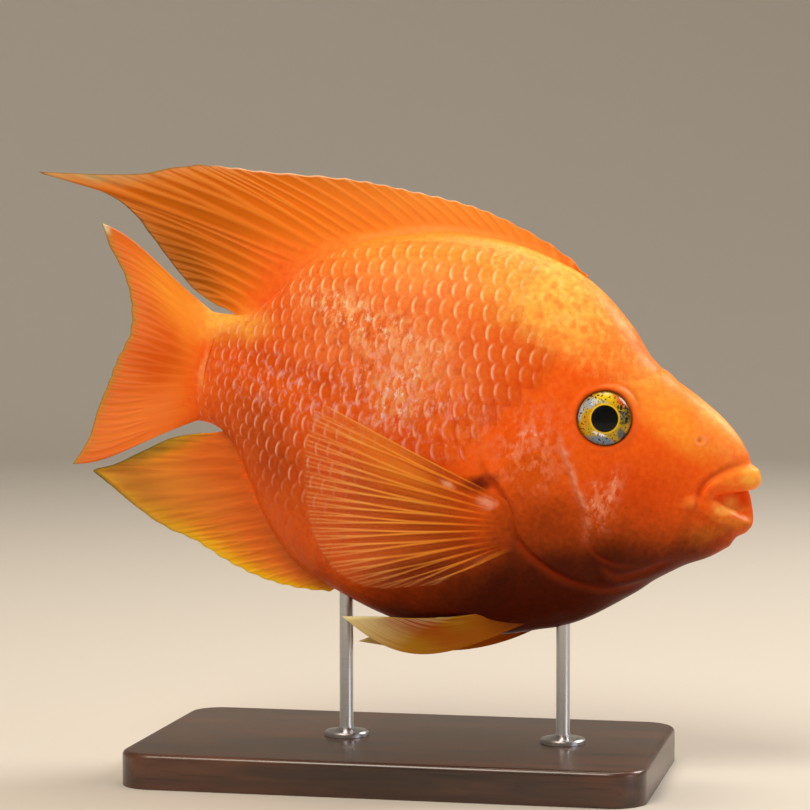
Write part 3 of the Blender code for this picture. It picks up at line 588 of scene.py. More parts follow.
def coatTree():
    # sets a plate on each point, lays it on the skin, lifts its rear edge and gives it its bake patch
    tree = bpy.data.node_groups.new("scaleCoat", "GeometryNodeTree")
    add = partial(addNode, tree)
    kinds = {"Geometry": "Geometry", "Skin": "Object", "Plate": "Object", "Seed": "Int", "Finish": "Material"}
    for label in ("Geometry", "Skin", "Plate", *scales["nodes"], "Finish"):
        kind = kinds.get(label, "Float")
        tree.interface.new_socket(label, in_out="INPUT", socket_type=f"NodeSocket{kind}")
    tree.interface.new_socket("Geometry", in_out="OUTPUT", socket_type="NodeSocketGeometry")
    given = add("NodeGroupInput", out=None).outputs
    vector = {"data_type": "FLOAT_VECTOR"}
    outwards, way, size, rootSpot, local = (
        add("GeometryNodeInputNamedAttribute", {"Name": label}, **vector)
        for label in ("outwards", "way", "plateSize", "rootSpot", "local"))
    skinShape, plate = (add("GeometryNodeObjectInfo", {"Object": given[label]}, "Geometry")
                        for label in ("Skin", "Plate"))
    here = add("GeometryNodeInputPosition")
    skinOut, skinSpot = (add("GeometryNodeSampleNearestSurface", {
        "Mesh": skinShape, "Value": value, "Sample Position": here,
    }, **vector) for value in (outwards, here))
    least = add("Math", [given["Jitter"], -1.0], **times)
    swing, tone = (add("FunctionNodeRandomValue", {2: low, 3: high, "Seed": given["Seed"]}, 1,
                       data_type="FLOAT") for low, high in ((least, given["Jitter"]), (0.0, 1.0)))
    facing = add("FunctionNodeAxesToRotation", {"Primary Axis": skinOut, "Secondary Axis": way},
                 primary_axis="Z", secondary_axis="X")
    twist = add("FunctionNodeAxisAngleToRotation", {"Axis": (0, 0, 1), "Angle": swing})
    facing = add("FunctionNodeRotateRotation", {"Rotation": facing, "Rotate By": twist},
                 rotation_space="LOCAL")
    flat = add("VectorMath", [size, (1, 1, 0)], **times)
    spots = add("GeometryNodeStoreNamedAttribute",
                {"Geometry": given["Geometry"], "Name": "tone", "Value": tone}, data_type="FLOAT")
    spots = add("GeometryNodeMeshToPoints", {"Mesh": spots})
    plates = add("GeometryNodeInstanceOnPoints",
                 {"Points": spots, "Instance": plate, "Rotation": facing, "Scale": flat})
    coat = add("GeometryNodeRealizeInstances", {"Geometry": plates})

    along, _, above = add("SeparateXYZ", [local], None).outputs
    relief = add("SeparateXYZ", [size], 2)
    share = add("Math", [along, 0.5, 0.5], operation="MULTIPLY_ADD")
    height = add("Mix", {0: relief, 2: given["Root Depth"], 3: given["Rear Lift"]}, data_type="FLOAT")
    steps = [("SUBTRACT", given["Root Depth"]), ("MULTIPLY", share), ("ADD", given["Thickness"]),
             ("MULTIPLY", above), ("ADD", given["Root Depth"])]
    for operation, value in steps:
        height = add("Math", [height, value], operation=operation)
    raised = add("VectorMath", {0: skinOut, "Scale": height}, operation="SCALE")
    place = add("VectorMath", [skinSpot, raised], operation="ADD")
    coat = add("GeometryNodeSetPosition", {"Geometry": coat, "Position": place})

    half = add("Math", [given["Patch"], 0.5], **times)
    small = add("VectorMath", {0: local, "Scale": half}, operation="SCALE")
    spot = add("VectorMath", [rootSpot, small], operation="ADD")
    coat = add("GeometryNodeStoreNamedAttribute", {"Geometry": coat, "Name": "OFBake", "Value": spot},
               data_type="FLOAT2", domain="CORNER")
    coat = add("GeometryNodeSetMaterial", {"Geometry": coat, "Material": given["Finish"]})
    add("NodeGroupOutput", {"Geometry": coat}, None)
    return tree


def applyTree(piece, tree, values):
    # runs the nodes on a piece and keeps the result as its plain mesh
    nodes = piece.modifiers.new(tree.name, "NODES")
    nodes.node_group = tree
    for item in tree.interface.items_tree:
        if item.in_out == "INPUT" and item.name in values:
            nodes[item.identifier] = values[item.name]
    bpy.context.view_layer.update()
    made = bpy.data.meshes.new_from_object(piece.evaluated_get(bpy.context.evaluated_depsgraph_get()))
    piece.modifiers.clear()
    piece.data = made


def makeScales(finish):
    plate, tree = scalePlate(), coatTree()
    coats = []
    for word, side in sides.items():
        coat = scaleCoat(f"scales{word}", side)
        applyTree(coat, tree, {"Skin": skin, "Plate": plate, "Finish": finish, **scales["nodes"]})
        coat.data.shade_smooth()
        coat.data.set_sharp_from_angle(angle=math.radians(scales["sharp"]))
        coats.append(coat)
    bpy.data.objects.remove(plate)
    return coats


# The markings that skin, scales and fin roots share, with painted shade under the head and belly and a
# painted highlight on the pectoral fin's root. Each patch is a soft oval on the side of the fish:
# colour, distance behind and height of its middle, half length, half height, turn in degrees, strength.

markings = {
    "base": "#f26218",
    "drift": 0.01, "driftScale": 90.0,   # noise of 11 mm moves their outlines by up to 5 mm
    "patches": [
        ("#fd9433", 0.1, 0.046, 0.07, 0.02, 0, 1.0),      # orange along the back
        ("#ffb850", 0.066, 0.038, 0.026, 0.013, 25, 0.85),    # pale yellow nape
        ("#fb8440", 0.11, 0.018, 0.048, 0.022, 10, 0.75),    # paler flank
        ("#ffb24a", 0.163, 0.014, 0.018, 0.0075, 0, 0.95),    # yellow top of the tail stem
        ("#ec5a0e", 0.064, 0.006, 0.02, 0.016, 20, 0.8),     # red behind the eye
        ("#fd9438", 0.034, 0.02, 0.015, 0.01, 35, 0.95),    # light forehead
        ("#ff9630", 0.024, 0.011, 0.015, 0.008, 30, 0.95),
        ("#fd9440", 0.011, 0.01, 0.011, 0.007, 45, 0.9),
        ("#ffb45c", 0.015, 0.018, 0.015, 0.006, 38, 0.8),     # lightest on top of the snout
        ("#d6480a", 0.032, -0.009, 0.018, 0.011, 0, 0.85),    # deep orange cheek
        ("#c85010", 0.06, -0.012, 0.016, 0.014, 0, 0.8),     # gill cover
        # painted shade on the lower gill cover, grading into the shaded throat
        ("#9a3608", 0.057, -0.022, 0.018, 0.009, -20, 0.6),
        ("#b44816", 0.138, -0.02, 0.026, 0.013, 40, 0.75),   # darker rear flank
        ("#882c04", 0.088, -0.06, 0.042, 0.014, 0, 0.95),    # red-brown belly, darkened further by painted shade
        ("#4a1403", 0.04, -0.047, 0.061, 0.03, -15, 1.0, 0.5),   # painted shade under the throat and breast
        # painted shade under the jaw
        ("#5c1c06", 0.018, -0.026, 0.02, 0.006, -35, 0.7),
        ("#ff8a30", 0.004, 0.0, 0.01, 0.0042, 0, 0.85),    # light upper lip
        ("#ffb648", 0.0005, 0.0002, 0.0045, 0.0034, 0, 0.8),
        ("#b8621c", 0.01, -0.017, 0.0105, 0.0036, -25, 0.65),  # yellow-brown chin
        ("#dc7828", 0.005, -0.0118, 0.007, 0.0026, 20, 0.85),  # lower lip
        ("#ffb050", 0.006, -0.0078, 0.0055, 0.0024, 0, 0.9),  # inside of the mouth
        ("#f08a3c", 0.0175, -0.0095, 0.0028, 0.0024, 0, 0.5),
        ("#64180a", 0.0745, -0.015, 0.005, 0.003, -20, 0.9),  # shade behind the gill cover
        ("#ffb898", 0.0715, -0.0208, 0.0034, 0.0018, 25, 0.8),   # painted highlight on the fleshy root of the pectoral fin
        ("#d8500c", 0.138, 0.005, 0.026, 0.0045, 8, 0.6),    # dark streak along the rear flank
        ("#ffb46c", 0.1648, -0.001, 0.0016, 0.0085, 0, 0.45),  # pale bar at the tail fin's root
    ],
    # cloudy spots: colour, cell size, middle, half sizes, turn, strength, and the noise where they start
    "tall": (1.3, 1.3, 0.75), "cloudEdge": 0.12,
    "clouds": [
        ("#ffc868", 0.0034, 0.062, 0.037, 0.034, 0.014, 25, 0.5, 0.48),
        ("#c8480c", 0.0034, 0.11, 0.012, 0.045, 0.02, 15, 0.55, 0.5),
        ("#ffb878", 0.0036, 0.116, 0.021, 0.028, 0.0085, 14, 0.8, 0.46),
        ("#ffe6c4", 0.0024, 0.116, 0.0215, 0.024, 0.0066, 14, 0.9, 0.54),
        ("#ffb470", 0.0034, 0.101, 0.008, 0.009, 0.019, 25, 0.75, 0.46),
        ("#fff0dc", 0.0024, 0.1005, 0.006, 0.0072, 0.0165, 25, 0.95, 0.54),
        ("#f8b0a4", 0.0022, 0.104, 0.003, 0.03, 0.017, 0, 0.75, 0.51),
        ("#eca8a8", 0.0022, 0.14, -0.002, 0.026, 0.012, 0, 0.65, 0.52),
        ("#ee8c64", 0.0034, 0.063, -0.002, 0.013, 0.016, 0, 0.6, 0.46),
        ("#f0a890", 0.0026, 0.065, 0.0, 0.005, 0.01, 40, 0.6, 0.52),
        ("#f09068", 0.0034, 0.04, -0.014, 0.0055, 0.0115, 15, 0.6, 0.45),
        ("#f8b898", 0.0024, 0.041, -0.013, 0.004, 0.009, 15, 0.7, 0.51),
    ],
    # the middles of the scales under the skin of the nape: colour, cell, middle, half sizes, turn, strength
    "dots": ("#f27c2c", 0.0036, 0.058, 0.034, 0.03, 0.017, 25, 0.55),
}


def patchMask(add, place, x, z, length, rise, turn, strength, soft=0.15):
    # 0 outside a soft oval to its strength inside; the oval lies in the x and z of the place given
    local = add("Mapping", [place, (x, 0, z), (0, math.radians(turn), 0), (length, 1, rise)],
                vector_type="TEXTURE")
    reach = add("VectorMath", [local], "Value", operation="LENGTH")
    return add("MapRange", [reach, 1.25, soft, 0, strength], **smooth)


def paint(add, colour, coats, blend="MIX"):
    # lays coats over a colour, each by the mask that says where and how strongly
    for mask, coat in coats:
        colour = add("Mix", {0: mask, 6: colour, 7: coat}, 2, data_type="RGBA", blend_type=blend)
    return colour


def fishFrame(add):
    # the shaded point in the fish's own frame
    place = add("TexCoord", out="Object")
    return add("Mapping", [place, fishPose["snout"], (0, fishTurn, 0)], vector_type="TEXTURE")


def drifted(add, place, scale, amount):
    # the place pushed about by slow noise, so that no patch has a clean outline
    push = add("TexNoise", {"Vector": place, "Scale": scale, "Detail": 4}, "Color")
    push = add("VectorMath", [push, (0.5, 0.5, 0.5)], operation="SUBTRACT")
    push = add("VectorMath", {0: push, "Scale": amount}, operation="SCALE")
    return add("VectorMath", [place, push], operation="ADD")


def fishColours(add, place):
    moved = drifted(add, place, markings["driftScale"], markings["drift"])
    coats = [(patchMask(add, moved, -aft, *oval), code) for code, aft, *oval in markings["patches"]]
    tall = add("Mapping", {"Vector": place, "Scale": markings["tall"]})
    spots = []
    for code, cell, aft, *oval, start in markings["clouds"]:
        cloud = add("TexNoise", {"Vector": tall, "Scale": 1 / cell, "Detail": 4, "Roughness": 0.65})
        cloud = add("MapRange", [cloud, start, start + markings["cloudEdge"]])
        spots.append((code, cloud, -aft, *oval))
    code, cell, aft, *oval = markings["dots"]
    dots = add("TexVoronoi", {"Vector": moved, "Scale": 1 / cell, "Randomness": 0.6}, "Distance")
    spots.append((code, add("MapRange", [dots, 0.55, 0.15], **smooth), -aft, *oval))
    for code, cloud, *oval in spots:
        coats.append((add("Math", [patchMask(add, moved, *oval), cloud], **times), code))
    grain = add("TexNoise", {"Vector": place, "Scale": 700, "Detail": 4})   # 1 to 2 mm across
    return paint(add, paint(add, markings["base"], coats), [(0.45, grain)], "OVERLAY")


def newFinish(name):
    # an empty material, what adds a node to it, and its shader
    finish = bpy.data.materials.new(name)
    finish.use_nodes = True
    finish.node_tree.nodes.clear()
    add = partial(addNode, finish.node_tree)
    shader = add("BsdfPrincipled", out=None)
    add("OutputMaterial", {"Surface": shader.outputs["BSDF"]}, None)
    return finish, add, shader


flesh = {
    "Subsurface Weight": 0.15, "Subsurface Radius": (1.0, 0.35, 0.12), "Subsurface Scale": 0.003,
    "Coat Weight": 0.04, "Coat Roughness": 0.20, "Specular IOR Level": 0.24,
    "Specular Tint": "#ffa874",   # light comes back out of the skin warm
    "IOR": 1.40,                  # wet skin and slime
}


def wetSkin():
    # living fish skin under a film of slime: soft light from inside, and a thin wet gloss on top
    finish, add, shader = newFinish("wetOrangeSkin")
    place = fishFrame(add)
    mottle = add("TexNoise", {"Vector": place, "Scale": 260, "Detail": 5})   # 4 mm across
    spots = add("MapRange", [mottle, 0.42, 0.60, 0, 0.8])
    # the crease attribute darkens the skin: painted shade in grooves, round the eyes, in the nostrils and
    # behind the gill cover
    fold, crease = (add("Math", [
        add("Attribute", out="Fac", attribute_name=label), strength,
    ], **times) for label, strength in (("paleFold", spots), ("crease", 0.7)))
    # real pores are finer than these, of 0.6 mm, which are as coarse as they need to be to show
    pores = add("TexNoise", {"Vector": place, "Scale": 1600, "Detail": 4})
    setInputs(shader, {
        "Base Color": paint(add, fishColours(add, place), [(fold, "#f6b08c"), (crease, "#a8340a")]),
        "Roughness": add("MapRange", [mottle, 0, 1, 0.34, 0.52]),
        "Normal": add("Bump", {"Height": pores, "Strength": 0.25, "Distance": 0.0002}), **flesh,
    })
    return finish


scaleLook = {
    "shade": "#e88c68", "each": "#eab094", "rims": ("#cc6038", "#ffb898", "#ffdc9c"),   # belly, flank, back
    # the pale crescent: how far out from the scale's middle, and how pale
    "crescent": [(0.0, 0.0), (0.70, 0.0), (0.80, 0.45), (0.90, 1.0), (0.955, 0.55), (0.99, 0.0),
                 (1.0, 0.0)],
}


def scaleFinish():
    # translucent scales over orange skin: each has a pale crescent inside its rear edge, cream on the back
    # and pink on the flank, and fine growth rings
    finish, add, shader = newFinish("scaleHorn")
    place = fishFrame(add)
    local, tone, sizes = (add("Attribute", out=part, attribute_name=label) for label, part in (
        ("local", "Vector"), ("tone", "Fac"), ("plateSize", "Vector")))
    along, across, _ = add("SeparateXYZ", [local], None).outputs
    relief, height = (add("SeparateXYZ", [spot], "Z") for spot in (sizes, place))
    each = add("MapRange", [tone, 0, 1, 0, 0.30])
    # painted shade over each scale's root, where the scale ahead overlaps it
    shade = add("MapRange", [along, 0.40, -0.05, 0, 0.30], **smooth)
    shade = add("Math", [shade, relief], **times)
    colour = paint(add, fishColours(add, place), [(each, scaleLook["each"]), (shade, scaleLook["shade"])],
                   "MULTIPLY")
    oval = add("Mapping", {"Vector": local, "Location": (0.02, 0, 0), "Scale": (0.98, 1.06, 1000)},
               vector_type="TEXTURE")
    reach = add("VectorMath", [oval], "Value", operation="LENGTH")
    crescent = add("ValToRGB", [reach], stops=scaleLook["crescent"])
    crescent.node.color_ramp.interpolation = "EASE"
    aside = add("Math", [across], operation="ABSOLUTE")
    uneven = add("TexNoise", {"Vector": place, "Scale": 330, "Detail": 4})   # 3 mm across
    for factor in (add("MapRange", [aside, 0.74, 0.25], **smooth),
                   add("MapRange", [along, 0.10, 0.60], **smooth),
                   add("MapRange", [uneven, 0.38, 0.56, 0.20, 1]),
                   relief, add("MapRange", [tone, 0, 1, 0.65, 1])):
        crescent = add("Math", [crescent, factor], **times)
    upper = add("MapRange", [height, 0.016, 0.034], **smooth)
    lower = add("MapRange", [height, -0.045, -0.012], **smooth)
    low, middle, high = scaleLook["rims"]
    rim = paint(add, low, [(lower, paint(add, middle, [(upper, high)]))])
    # growth rings 0.2 mm apart, coarser than real ones, so that they show
    rings = add("TexWave", {"Vector": oval, "Scale": 6, "Distortion": 1}, wave_type="RINGS",
                rings_direction="SPHERICAL")
    setInputs(shader, {
        "Base Color": paint(add, colour, [(crescent, rim)]), "Roughness": 0.40,
        "Normal": add("Bump", {"Height": rings, "Strength": 0.12, "Distance": 0.0001}), **flesh,
    })
    return finish


skin.data.materials.append(wetSkin())
scaleCoats = makeScales(scaleFinish())
print("scales laid:", [len(coat.data.polygons) for coat in scaleCoats])


# Fins: a thin web with raised rays that fork towards the margin. Edge lines are rows of share from the
# first to the last ray, distance behind the snout and height, with the distance from the midplane last.

fins = {
    "dorsalFin": {
        "node": "dorsal_fin", "rays": 30, "softFrom": 18, "perRay": 10, "rows": 34, "notch": 0.0007,
        "front": 0.06, "rear": 0.1555, "sink": 0.0034, "turnAt": 18 / 27,
        "topEdge": [(0.0, 0.059, 0.0468), (0.05, 0.064, 0.0502), (0.14, 0.0749, 0.0549),
                    (0.25, 0.0936, 0.0597), (0.36, 0.114, 0.061), (0.46, 0.1359, 0.0608),
                    (0.53, 0.1598, 0.0583), (0.58, 0.1735, 0.0573), (0.62, 0.1839, 0.0552),
                    (0.645, 0.2, 0.0498), (0.6667, 0.2268, 0.0455)],
        "rearEdge": [(0.6667, 0.2268, 0.0452), (0.685, 0.2132, 0.0446), (0.705, 0.2026, 0.0424),
                     (0.73, 0.1952, 0.0386), (0.76, 0.19, 0.0342), (0.84, 0.1815, 0.0268),
                     (0.92, 0.1736, 0.0208), (1.0, 0.1655, 0.0172)],
        "thick": (0.0085, 0.001, 0.0005), "flare": 0.01, "widths": (0.3, 0.15), "rearFlesh": 0.3,
        "frontFlesh": 0.1, "crowded": 0.0023,
        "lean": [(0.0, 0.0), (0.1, 0.16), (0.25, 0.3), (0.45, 0.455), (0.59, 0.555), (0.68, 0.622),
                 (22 / 29, 18 / 27), (0.82, 0.71), (0.88, 0.78), (0.94, 0.87), (1.0, 1.0)],
        "webColours": [(0, "#f07a1c"), (0.45, "#ea7418"), (0.8, "#d86a10"), (1, "#cc6c20")],
        "rayColours": [(0, "#fd8c2c"), (0.5, "#fa9030"), (0.9, "#f89c44"), (1, "#fcb070")],
        "edgeColours": [(0, "#f48430"), (0.14, "#f89850"), (0.26, "#ffc8a4"), (0.58, "#ffc0a0"),
                        (0.64, "#7c6428")],
        "patches": [("#fc943c", 0.096, 0.056, 0.05, 0.014, 0, 0.8),
                    ("#9c500a", 0.184, 0.037, 0.04, 0.023, 0, 0.8),
                    ("#78460a", 0.177, 0.0255, 0.021, 0.009, 35, 0.8),
                    ("#a09868", 0.214, 0.0478, 0.024, 0.004, -8, 0.9)],
        "edgeStart": 0.97, "bodyReach": 0.36, "rayTone": 0.8, "fibres": (150, 0.25),
    },
    "caudalFin": {
        "node": "caudal_fin", "rays": 16, "softFrom": 1, "perRay": 16, "rows": 34, "notch": 0.0003,
        "root": [(0.0, 0.1625, 0.0132), (0.5, 0.164, -0.0015), (1.0, 0.1625, -0.0158)],
        "tip": [(0.0, 0.205, 0.0342), (0.06, 0.2018, 0.0287), (0.15, 0.1962, 0.022), (0.3, 0.1912, 0.0125),
                (0.42, 0.1897, 0.0045), (0.55, 0.192, -0.0045), (0.68, 0.1934, -0.0122),
                (0.8, 0.1953, -0.0208), (0.92, 0.1968, -0.03), (1.0, 0.2002, -0.0378)],
        "thick": (0.0082, 0.0007, 0.0004), "flare": 0.022, "widths": (0.32, 0.12), "round": 0.95,
        "webColours": [(0, "#f4842a"), (0.5, "#e0641a"), (0.9, "#de6c2c"), (1, "#b88438")],
        "rayColours": [(0, "#fa8c2c"), (0.5, "#f48038"), (0.9, "#f29058"), (1, "#c89050")],
        "edgeColours": [(0, "#8a8030"), (1, "#8a8030")],
        "patches": [("#ff9c32", 0.176, 0.016, 0.024, 0.008, 35, 0.9),
                    ("#f4843c", 0.184, -0.0215, 0.022, 0.009, -35, 0.8),
                    ("#f0e0c0", 0.2045, 0.0335, 0.0035, 0.0022, 40, 0.9),
                    ("#cc5010", 0.18, -0.002, 0.012, 0.0075, 0, 0.6)],
        "edgeStart": 0.985, "bodyReach": 0.4, "rayTone": 0.38,
    },
    "analFin": {
        "node": "anal_fin", "rays": 17, "softFrom": 7, "perRay": 12, "rows": 30, "notch": 0.0005,
        "front": 0.112, "rear": 0.1535, "sink": 0.0034, "turnAt": 13 / 16,
        "lowEdge": [(0.0, 0.116, -0.0583), (0.1, 0.124, -0.0592), (0.25, 0.136, -0.0588),
                    (0.4, 0.148, -0.0562), (0.55, 0.16, -0.0522), (0.66, 0.17, -0.05),
                    (0.75, 0.18, -0.0455), (0.8125, 0.1935, -0.0384)],
        "rearEdge": [(0.8125, 0.1935, -0.038), (0.85, 0.1872, -0.035), (0.9, 0.179, -0.0291),
                     (0.95, 0.1708, -0.0235), (1.0, 0.163, -0.0206)],
        "thick": (0.007, 0.0009, 0.0005), "flare": 0.0095, "widths": (0.3, 0.14), "rearFlesh": 0.35,
        "frontFlesh": 0.3,
        "webColours": [(0, "#c85c20"), (0.4, "#d66a28"), (0.7, "#dc8426"), (0.88, "#e8a818"),
                       (1, "#e0b020")],
        "rayColours": [(0, "#e06c28"), (0.4, "#e67c30"), (0.75, "#ec9a34"), (1, "#f4cc48")],
        "edgeColours": [(0, "#ecc83c"), (0.55, "#ecc83c"), (0.74, "#c09848"), (0.82, "#5a5a20")],
        "patches": [("#b07430", 0.182, -0.0375, 0.024, 0.009, 30, 0.95),
                    ("#cc8438", 0.164, -0.038, 0.02, 0.01, 20, 0.5),
                    ("#7a6424", 0.1775, -0.0288, 0.021, 0.0032, -30, 0.9)],
        "edgeStart": 0.95, "bodyReach": 0.09, "rayTone": 0.4,
    },
    "pectoralFin": {
        "node": "pectoral_fin", "paired": True, "rays": 13, "softFrom": 1, "perRay": 16, "rows": 40,
        "notch": 0.0003,
        "root": [(0.0, 0.063, -0.019, 0.0205), (0.5, 0.063, -0.025, 0.0203), (1.0, 0.063, -0.0315, 0.0186)],
        "tip": [(0.0, 0.1197, -0.0014, 0.035), (0.08, 0.1227, -0.0048, 0.0355),
                (0.18, 0.1233, -0.0121, 0.036), (0.3, 0.1223, -0.0204, 0.036),
                (0.42, 0.1204, -0.0286, 0.0356), (0.54, 0.118, -0.0353, 0.035),
                (0.66, 0.1139, -0.0416, 0.0342), (0.78, 0.107, -0.0476, 0.033),
                (0.89, 0.0968, -0.0493, 0.0316), (1.0, 0.08, -0.045, 0.0288)],
        "thick": (0.0046, 0.0008, 0.0004), "flare": 0.02, "widths": (0.27, 0.09), "lead": 1.6,
        "webColours": [(0, "#c04c14"), (0.25, "#9c3a0a"), (0.6, "#c46024"), (1, "#bc6038")],
        "rayColours": [(0, "#d86a20"), (0.25, "#f49830"), (0.6, "#f8a040"), (1, "#ffb874")],
        "edgeColours": [(0.45, "#d87838"), (0.55, "#c05a20")],
        "patches": [("#e88428", 0.1, -0.0125, 0.026, 0.0085, 28, 0.85),
                    # painted highlight on the thick leading ray near the root
                    ("#ffcca4", 0.082, -0.0166, 0.0026, 0.001, 30, 0.9),
                    # painted shade on the fin's lower part, over the shaded belly
                    ("#601c06", 0.084, -0.043, 0.022, 0.006, -15, 0.9)],
        "edgeStart": 0.985, "bodyReach": 0.45, "rayTone": 0.8, "fibres": (70, 0.6), "solid": (0.52, 0.9),
    },
    "pelvicFin": {
        "node": "pelvic_fin", "paired": True, "rays": 6, "softFrom": 1, "perRay": 16, "rows": 40,
        "notch": 0.0002,
        "root": [(0.0, 0.046, -0.0475, 0.0055), (1.0, 0.0635, -0.051, 0.01)],
        "tip": [(0.0, 0.1079, -0.062, 0.015), (0.25, 0.1028, -0.0609, 0.0148),
                (0.5, 0.0965, -0.0596, 0.0146), (0.75, 0.089, -0.0584, 0.0144),
                (1.0, 0.08, -0.0564, 0.0142)],
        "sag": {"Right": (0.0118, 1.3), "Left": (0.0085, 0.8)}, "drop": {"Right": 0.0, "Left": 0.0115},
        "thick": (0.002, 0.0009, 0.0004), "flare": 0.008, "widths": (0.26, 0.12),
        "webColours": [(0, "#642004"), (0.3, "#9c4006"), (0.7, "#a8701c"), (1, "#d8c080")],
        "rayColours": [(0, "#a04406"), (0.3, "#c47c14"), (0.7, "#d89c24"), (1, "#f4e8b8")],
        "edgeColours": [(0.45, "#f0e4a8"), (0.55, "#d8a838")],
        "patches": [("#a83408", 0.086, -0.06, 0.018, 0.005, 8, 0.9)],
        "edgeStart": 0.97, "bodyReach": 0.36, "rayTone": 0.85,
    },
}
finSheet = {
    "web": 0.00028, "fullBend": 0.025, "rowCrowding": 1.25, "crowdedTone": 0.5, "fibres": (80, 0.25),
    "apart": (0.0005, 0.003),   # rays this near each other merge, and this far have a full notch
    "forks": [(0.23, 0.3, 0.8), (0.11, 0.62, 1)],   # how far the branches part, and from where to where
}


def inMidplane(behind, height, out=0.0):
    # points of the fish's frame, this far behind the snout and this far from the midplane
    return np.stack([-behind, np.zeros_like(behind) + out, height], axis=-1)


def followLine(line, side=1):
    # the points of a smooth line of rows: share, distance behind, height and, on paired fins, distance out
    curve = smoothCurve(line) if isinstance(line, list) else line

    def points(share):
        behind, height, *out = np.moveaxis(curve(share), -1, 0)
        return inMidplane(behind, height, side * out[0] if out else 0.0)

    return points


def twoEdges(first, second, turnAt):
    # a line that follows one edge to a sharp tip and then another
    one, two = smoothCurve(first), smoothCurve(second)
    return lambda share: np.where((share <= turnAt + 1e-6)[..., None], one(share), two(share))


def rayPattern(design, share, out):
    # 0 on the web to 1 on the crown of a ray; the soft rays fork once, and again near the margin
    at = share * (design["rays"] - 1)
    ray = np.round(at)
    off = np.abs(at - ray)
    soft = ray >= design["softFrom"]
    for apart, start, end in finSheet["forks"]:
        off = np.abs(off - apart * smoothStep(out, start, end) * soft)
    first, last = design["widths"]
    width = first + (last - first) * np.sqrt(out)
    width = width * np.where(ray == 0, design.get("lead", 1.0), 1.0)
    return bell(off, width * np.where(soft, 1 - 0.35 * smoothStep(out, 0.3, 0.8), 1.0))


def makeFin(name, design, root, tip, bend):
    # a closed fin: two faces either side of a middle sheet, and the rim between them
    columns, rows = (design["rays"] - 1) * design["perRay"] + 1, design["rows"] + 1
    share, out = np.meshgrid(np.linspace(0, 1, columns), np.linspace(0, 1, rows) ** finSheet["rowCrowding"],
                             indexing="ij")
    foot, end = root(share), tip(share)
    length = np.linalg.norm(end - foot, axis=2, keepdims=True)
    step = np.gradient(foot + (end - foot) * out[..., None], axis=0)
    apart = np.linalg.norm(np.cross(step, (end - foot) / length), axis=2) * design["perRay"]
    touching, clear = finSheet["apart"]
    room = smoothStep(apart, touching, design.get("crowded", 0.0013))
    ridge = rayPattern(design, share, out) * room
    crown = np.cos(math.pi * (share * (design["rays"] - 1) % 1)) ** 2
    notch = design["notch"] * (1 - crown) * smoothStep(apart, touching, clear)
    end = end - (end - foot) / length * (notch * (1 - 0.7 * smoothStep(share, 0.6, 0.75)))[..., None]
    middle = foot + (end - foot) * out[..., None]
    middle = middle + bend(share, out) * np.minimum(1, length / finSheet["fullBend"])
    rootThick, rayThick, tipThick = design["thick"]
    flesh = np.maximum(0, 1 - out * length[..., 0] / design["flare"]) ** 2
    for part, low, high in (("rearFlesh", 0.3, 1.0), ("frontFlesh", 0.12, 0.0)):
        flesh = flesh * (1 - (1 - design.get(part, 1.0)) * smoothStep(share, low, high))
    flesh = flesh * np.sqrt(1 - design.get("round", 0.0) * (2 * share - 1) ** 2)
    web = finSheet["web"] * (1 - 0.35 * out) + rootThick * flesh
    thick = web + np.maximum(0, rayThick + (tipThick - rayThick) * out - web) * ridge
    normal = np.cross(np.gradient(middle, axis=0), np.gradient(middle, axis=1))
    normal *= thick[..., None] / 2 / np.maximum(np.linalg.norm(normal, axis=2, keepdims=True), 1e-12)
    points = np.concatenate([middle + normal, middle - normal]).reshape(-1, 3)
    piece = newPiece(name, inWorld(points), sheetFaces(columns, rows))
    addAttribute(piece.data, "ray", np.tile((ridge + finSheet["crowdedTone"] * (1 - room)).ravel(), 2))
    addUV(piece.data, "finUV", np.tile(np.stack([share.ravel(), out.ravel()], axis=1), (2, 1)))
    return piece


# Each fin's shape: its root line, its margin, and how it sways between them

def dorsalFin(design, word, side):
    # rays stand evenly along the back; the front ones lean back and the rear ones rise to the rear edge
    edge = followLine(twoEdges(design["topEdge"], design["rearEdge"], design["turnAt"]))
    lean = smoothCurve(design["lean"])
    line = np.linspace(design["front"], design["rear"], 400)
    length = np.concatenate([[0], np.cumsum(np.hypot(np.diff(line), np.diff(back(line))))])

    def root(share):
        behind = np.interp(share * length[-1], length, line)
        return inMidplane(behind, back(behind) - design["sink"])

    def bend(share, out):
        sway = 0.0012 * np.sin(9 * share) * out ** 2
        return inMidplane(0 * share, 0.0020 * share * np.sin(math.pi * out), sway)

    return root, lambda share: edge(lean(share)), bend


def caudalFin(design, word, side):
    def bend(share, out):
        arch = 0.0020 * (1 - 2 * share) * np.sin(math.pi * out ** 2.2)
        return inMidplane(0 * share, arch, 0.0016 * out ** 2 * np.cos(5 * share))

    return followLine(design["root"]), followLine(design["tip"]), bend


def analFin(design, word, side):
    def root(share):
        behind = design["front"] + (design["rear"] - design["front"]) * share
        return inMidplane(behind, belly(behind) + design["sink"])

    def bend(share, out):
        sway = -0.0012 * np.sin(8 * share) * out ** 2
        return inMidplane(0 * share, -0.0008 * share * np.sin(math.pi * out), sway)

    return root, followLine(twoEdges(design["lowEdge"], design["rearEdge"], design["turnAt"])), bend


def pectoralFin(design, word, side):
    def bend(share, out):
        bulge = 0.0040 * np.sin(math.pi * out ** 0.7) + 0.0006 * np.sin(12 * share) * out
        return inMidplane(0 * share, 0 * share, side * bulge)

    return followLine(design["root"], side), followLine(design["tip"], side), bend


def pelvicFin(design, word, side):
    edge = followLine(design["tip"], side)
    deepest, sagOut = design["sag"][word]

    def tip(share):
        return edge(share) - inMidplane(0 * share, design["drop"][word] * (1 - 0.75 * share))

    def bend(share, out):
        sag = deepest * (1 - share) * np.sin(math.pi * out ** sagOut)
        return inMidplane(0 * share, -sag, side * 0.0012 * np.sin(math.pi * out))

    return followLine(design["root"], side), tip, bend


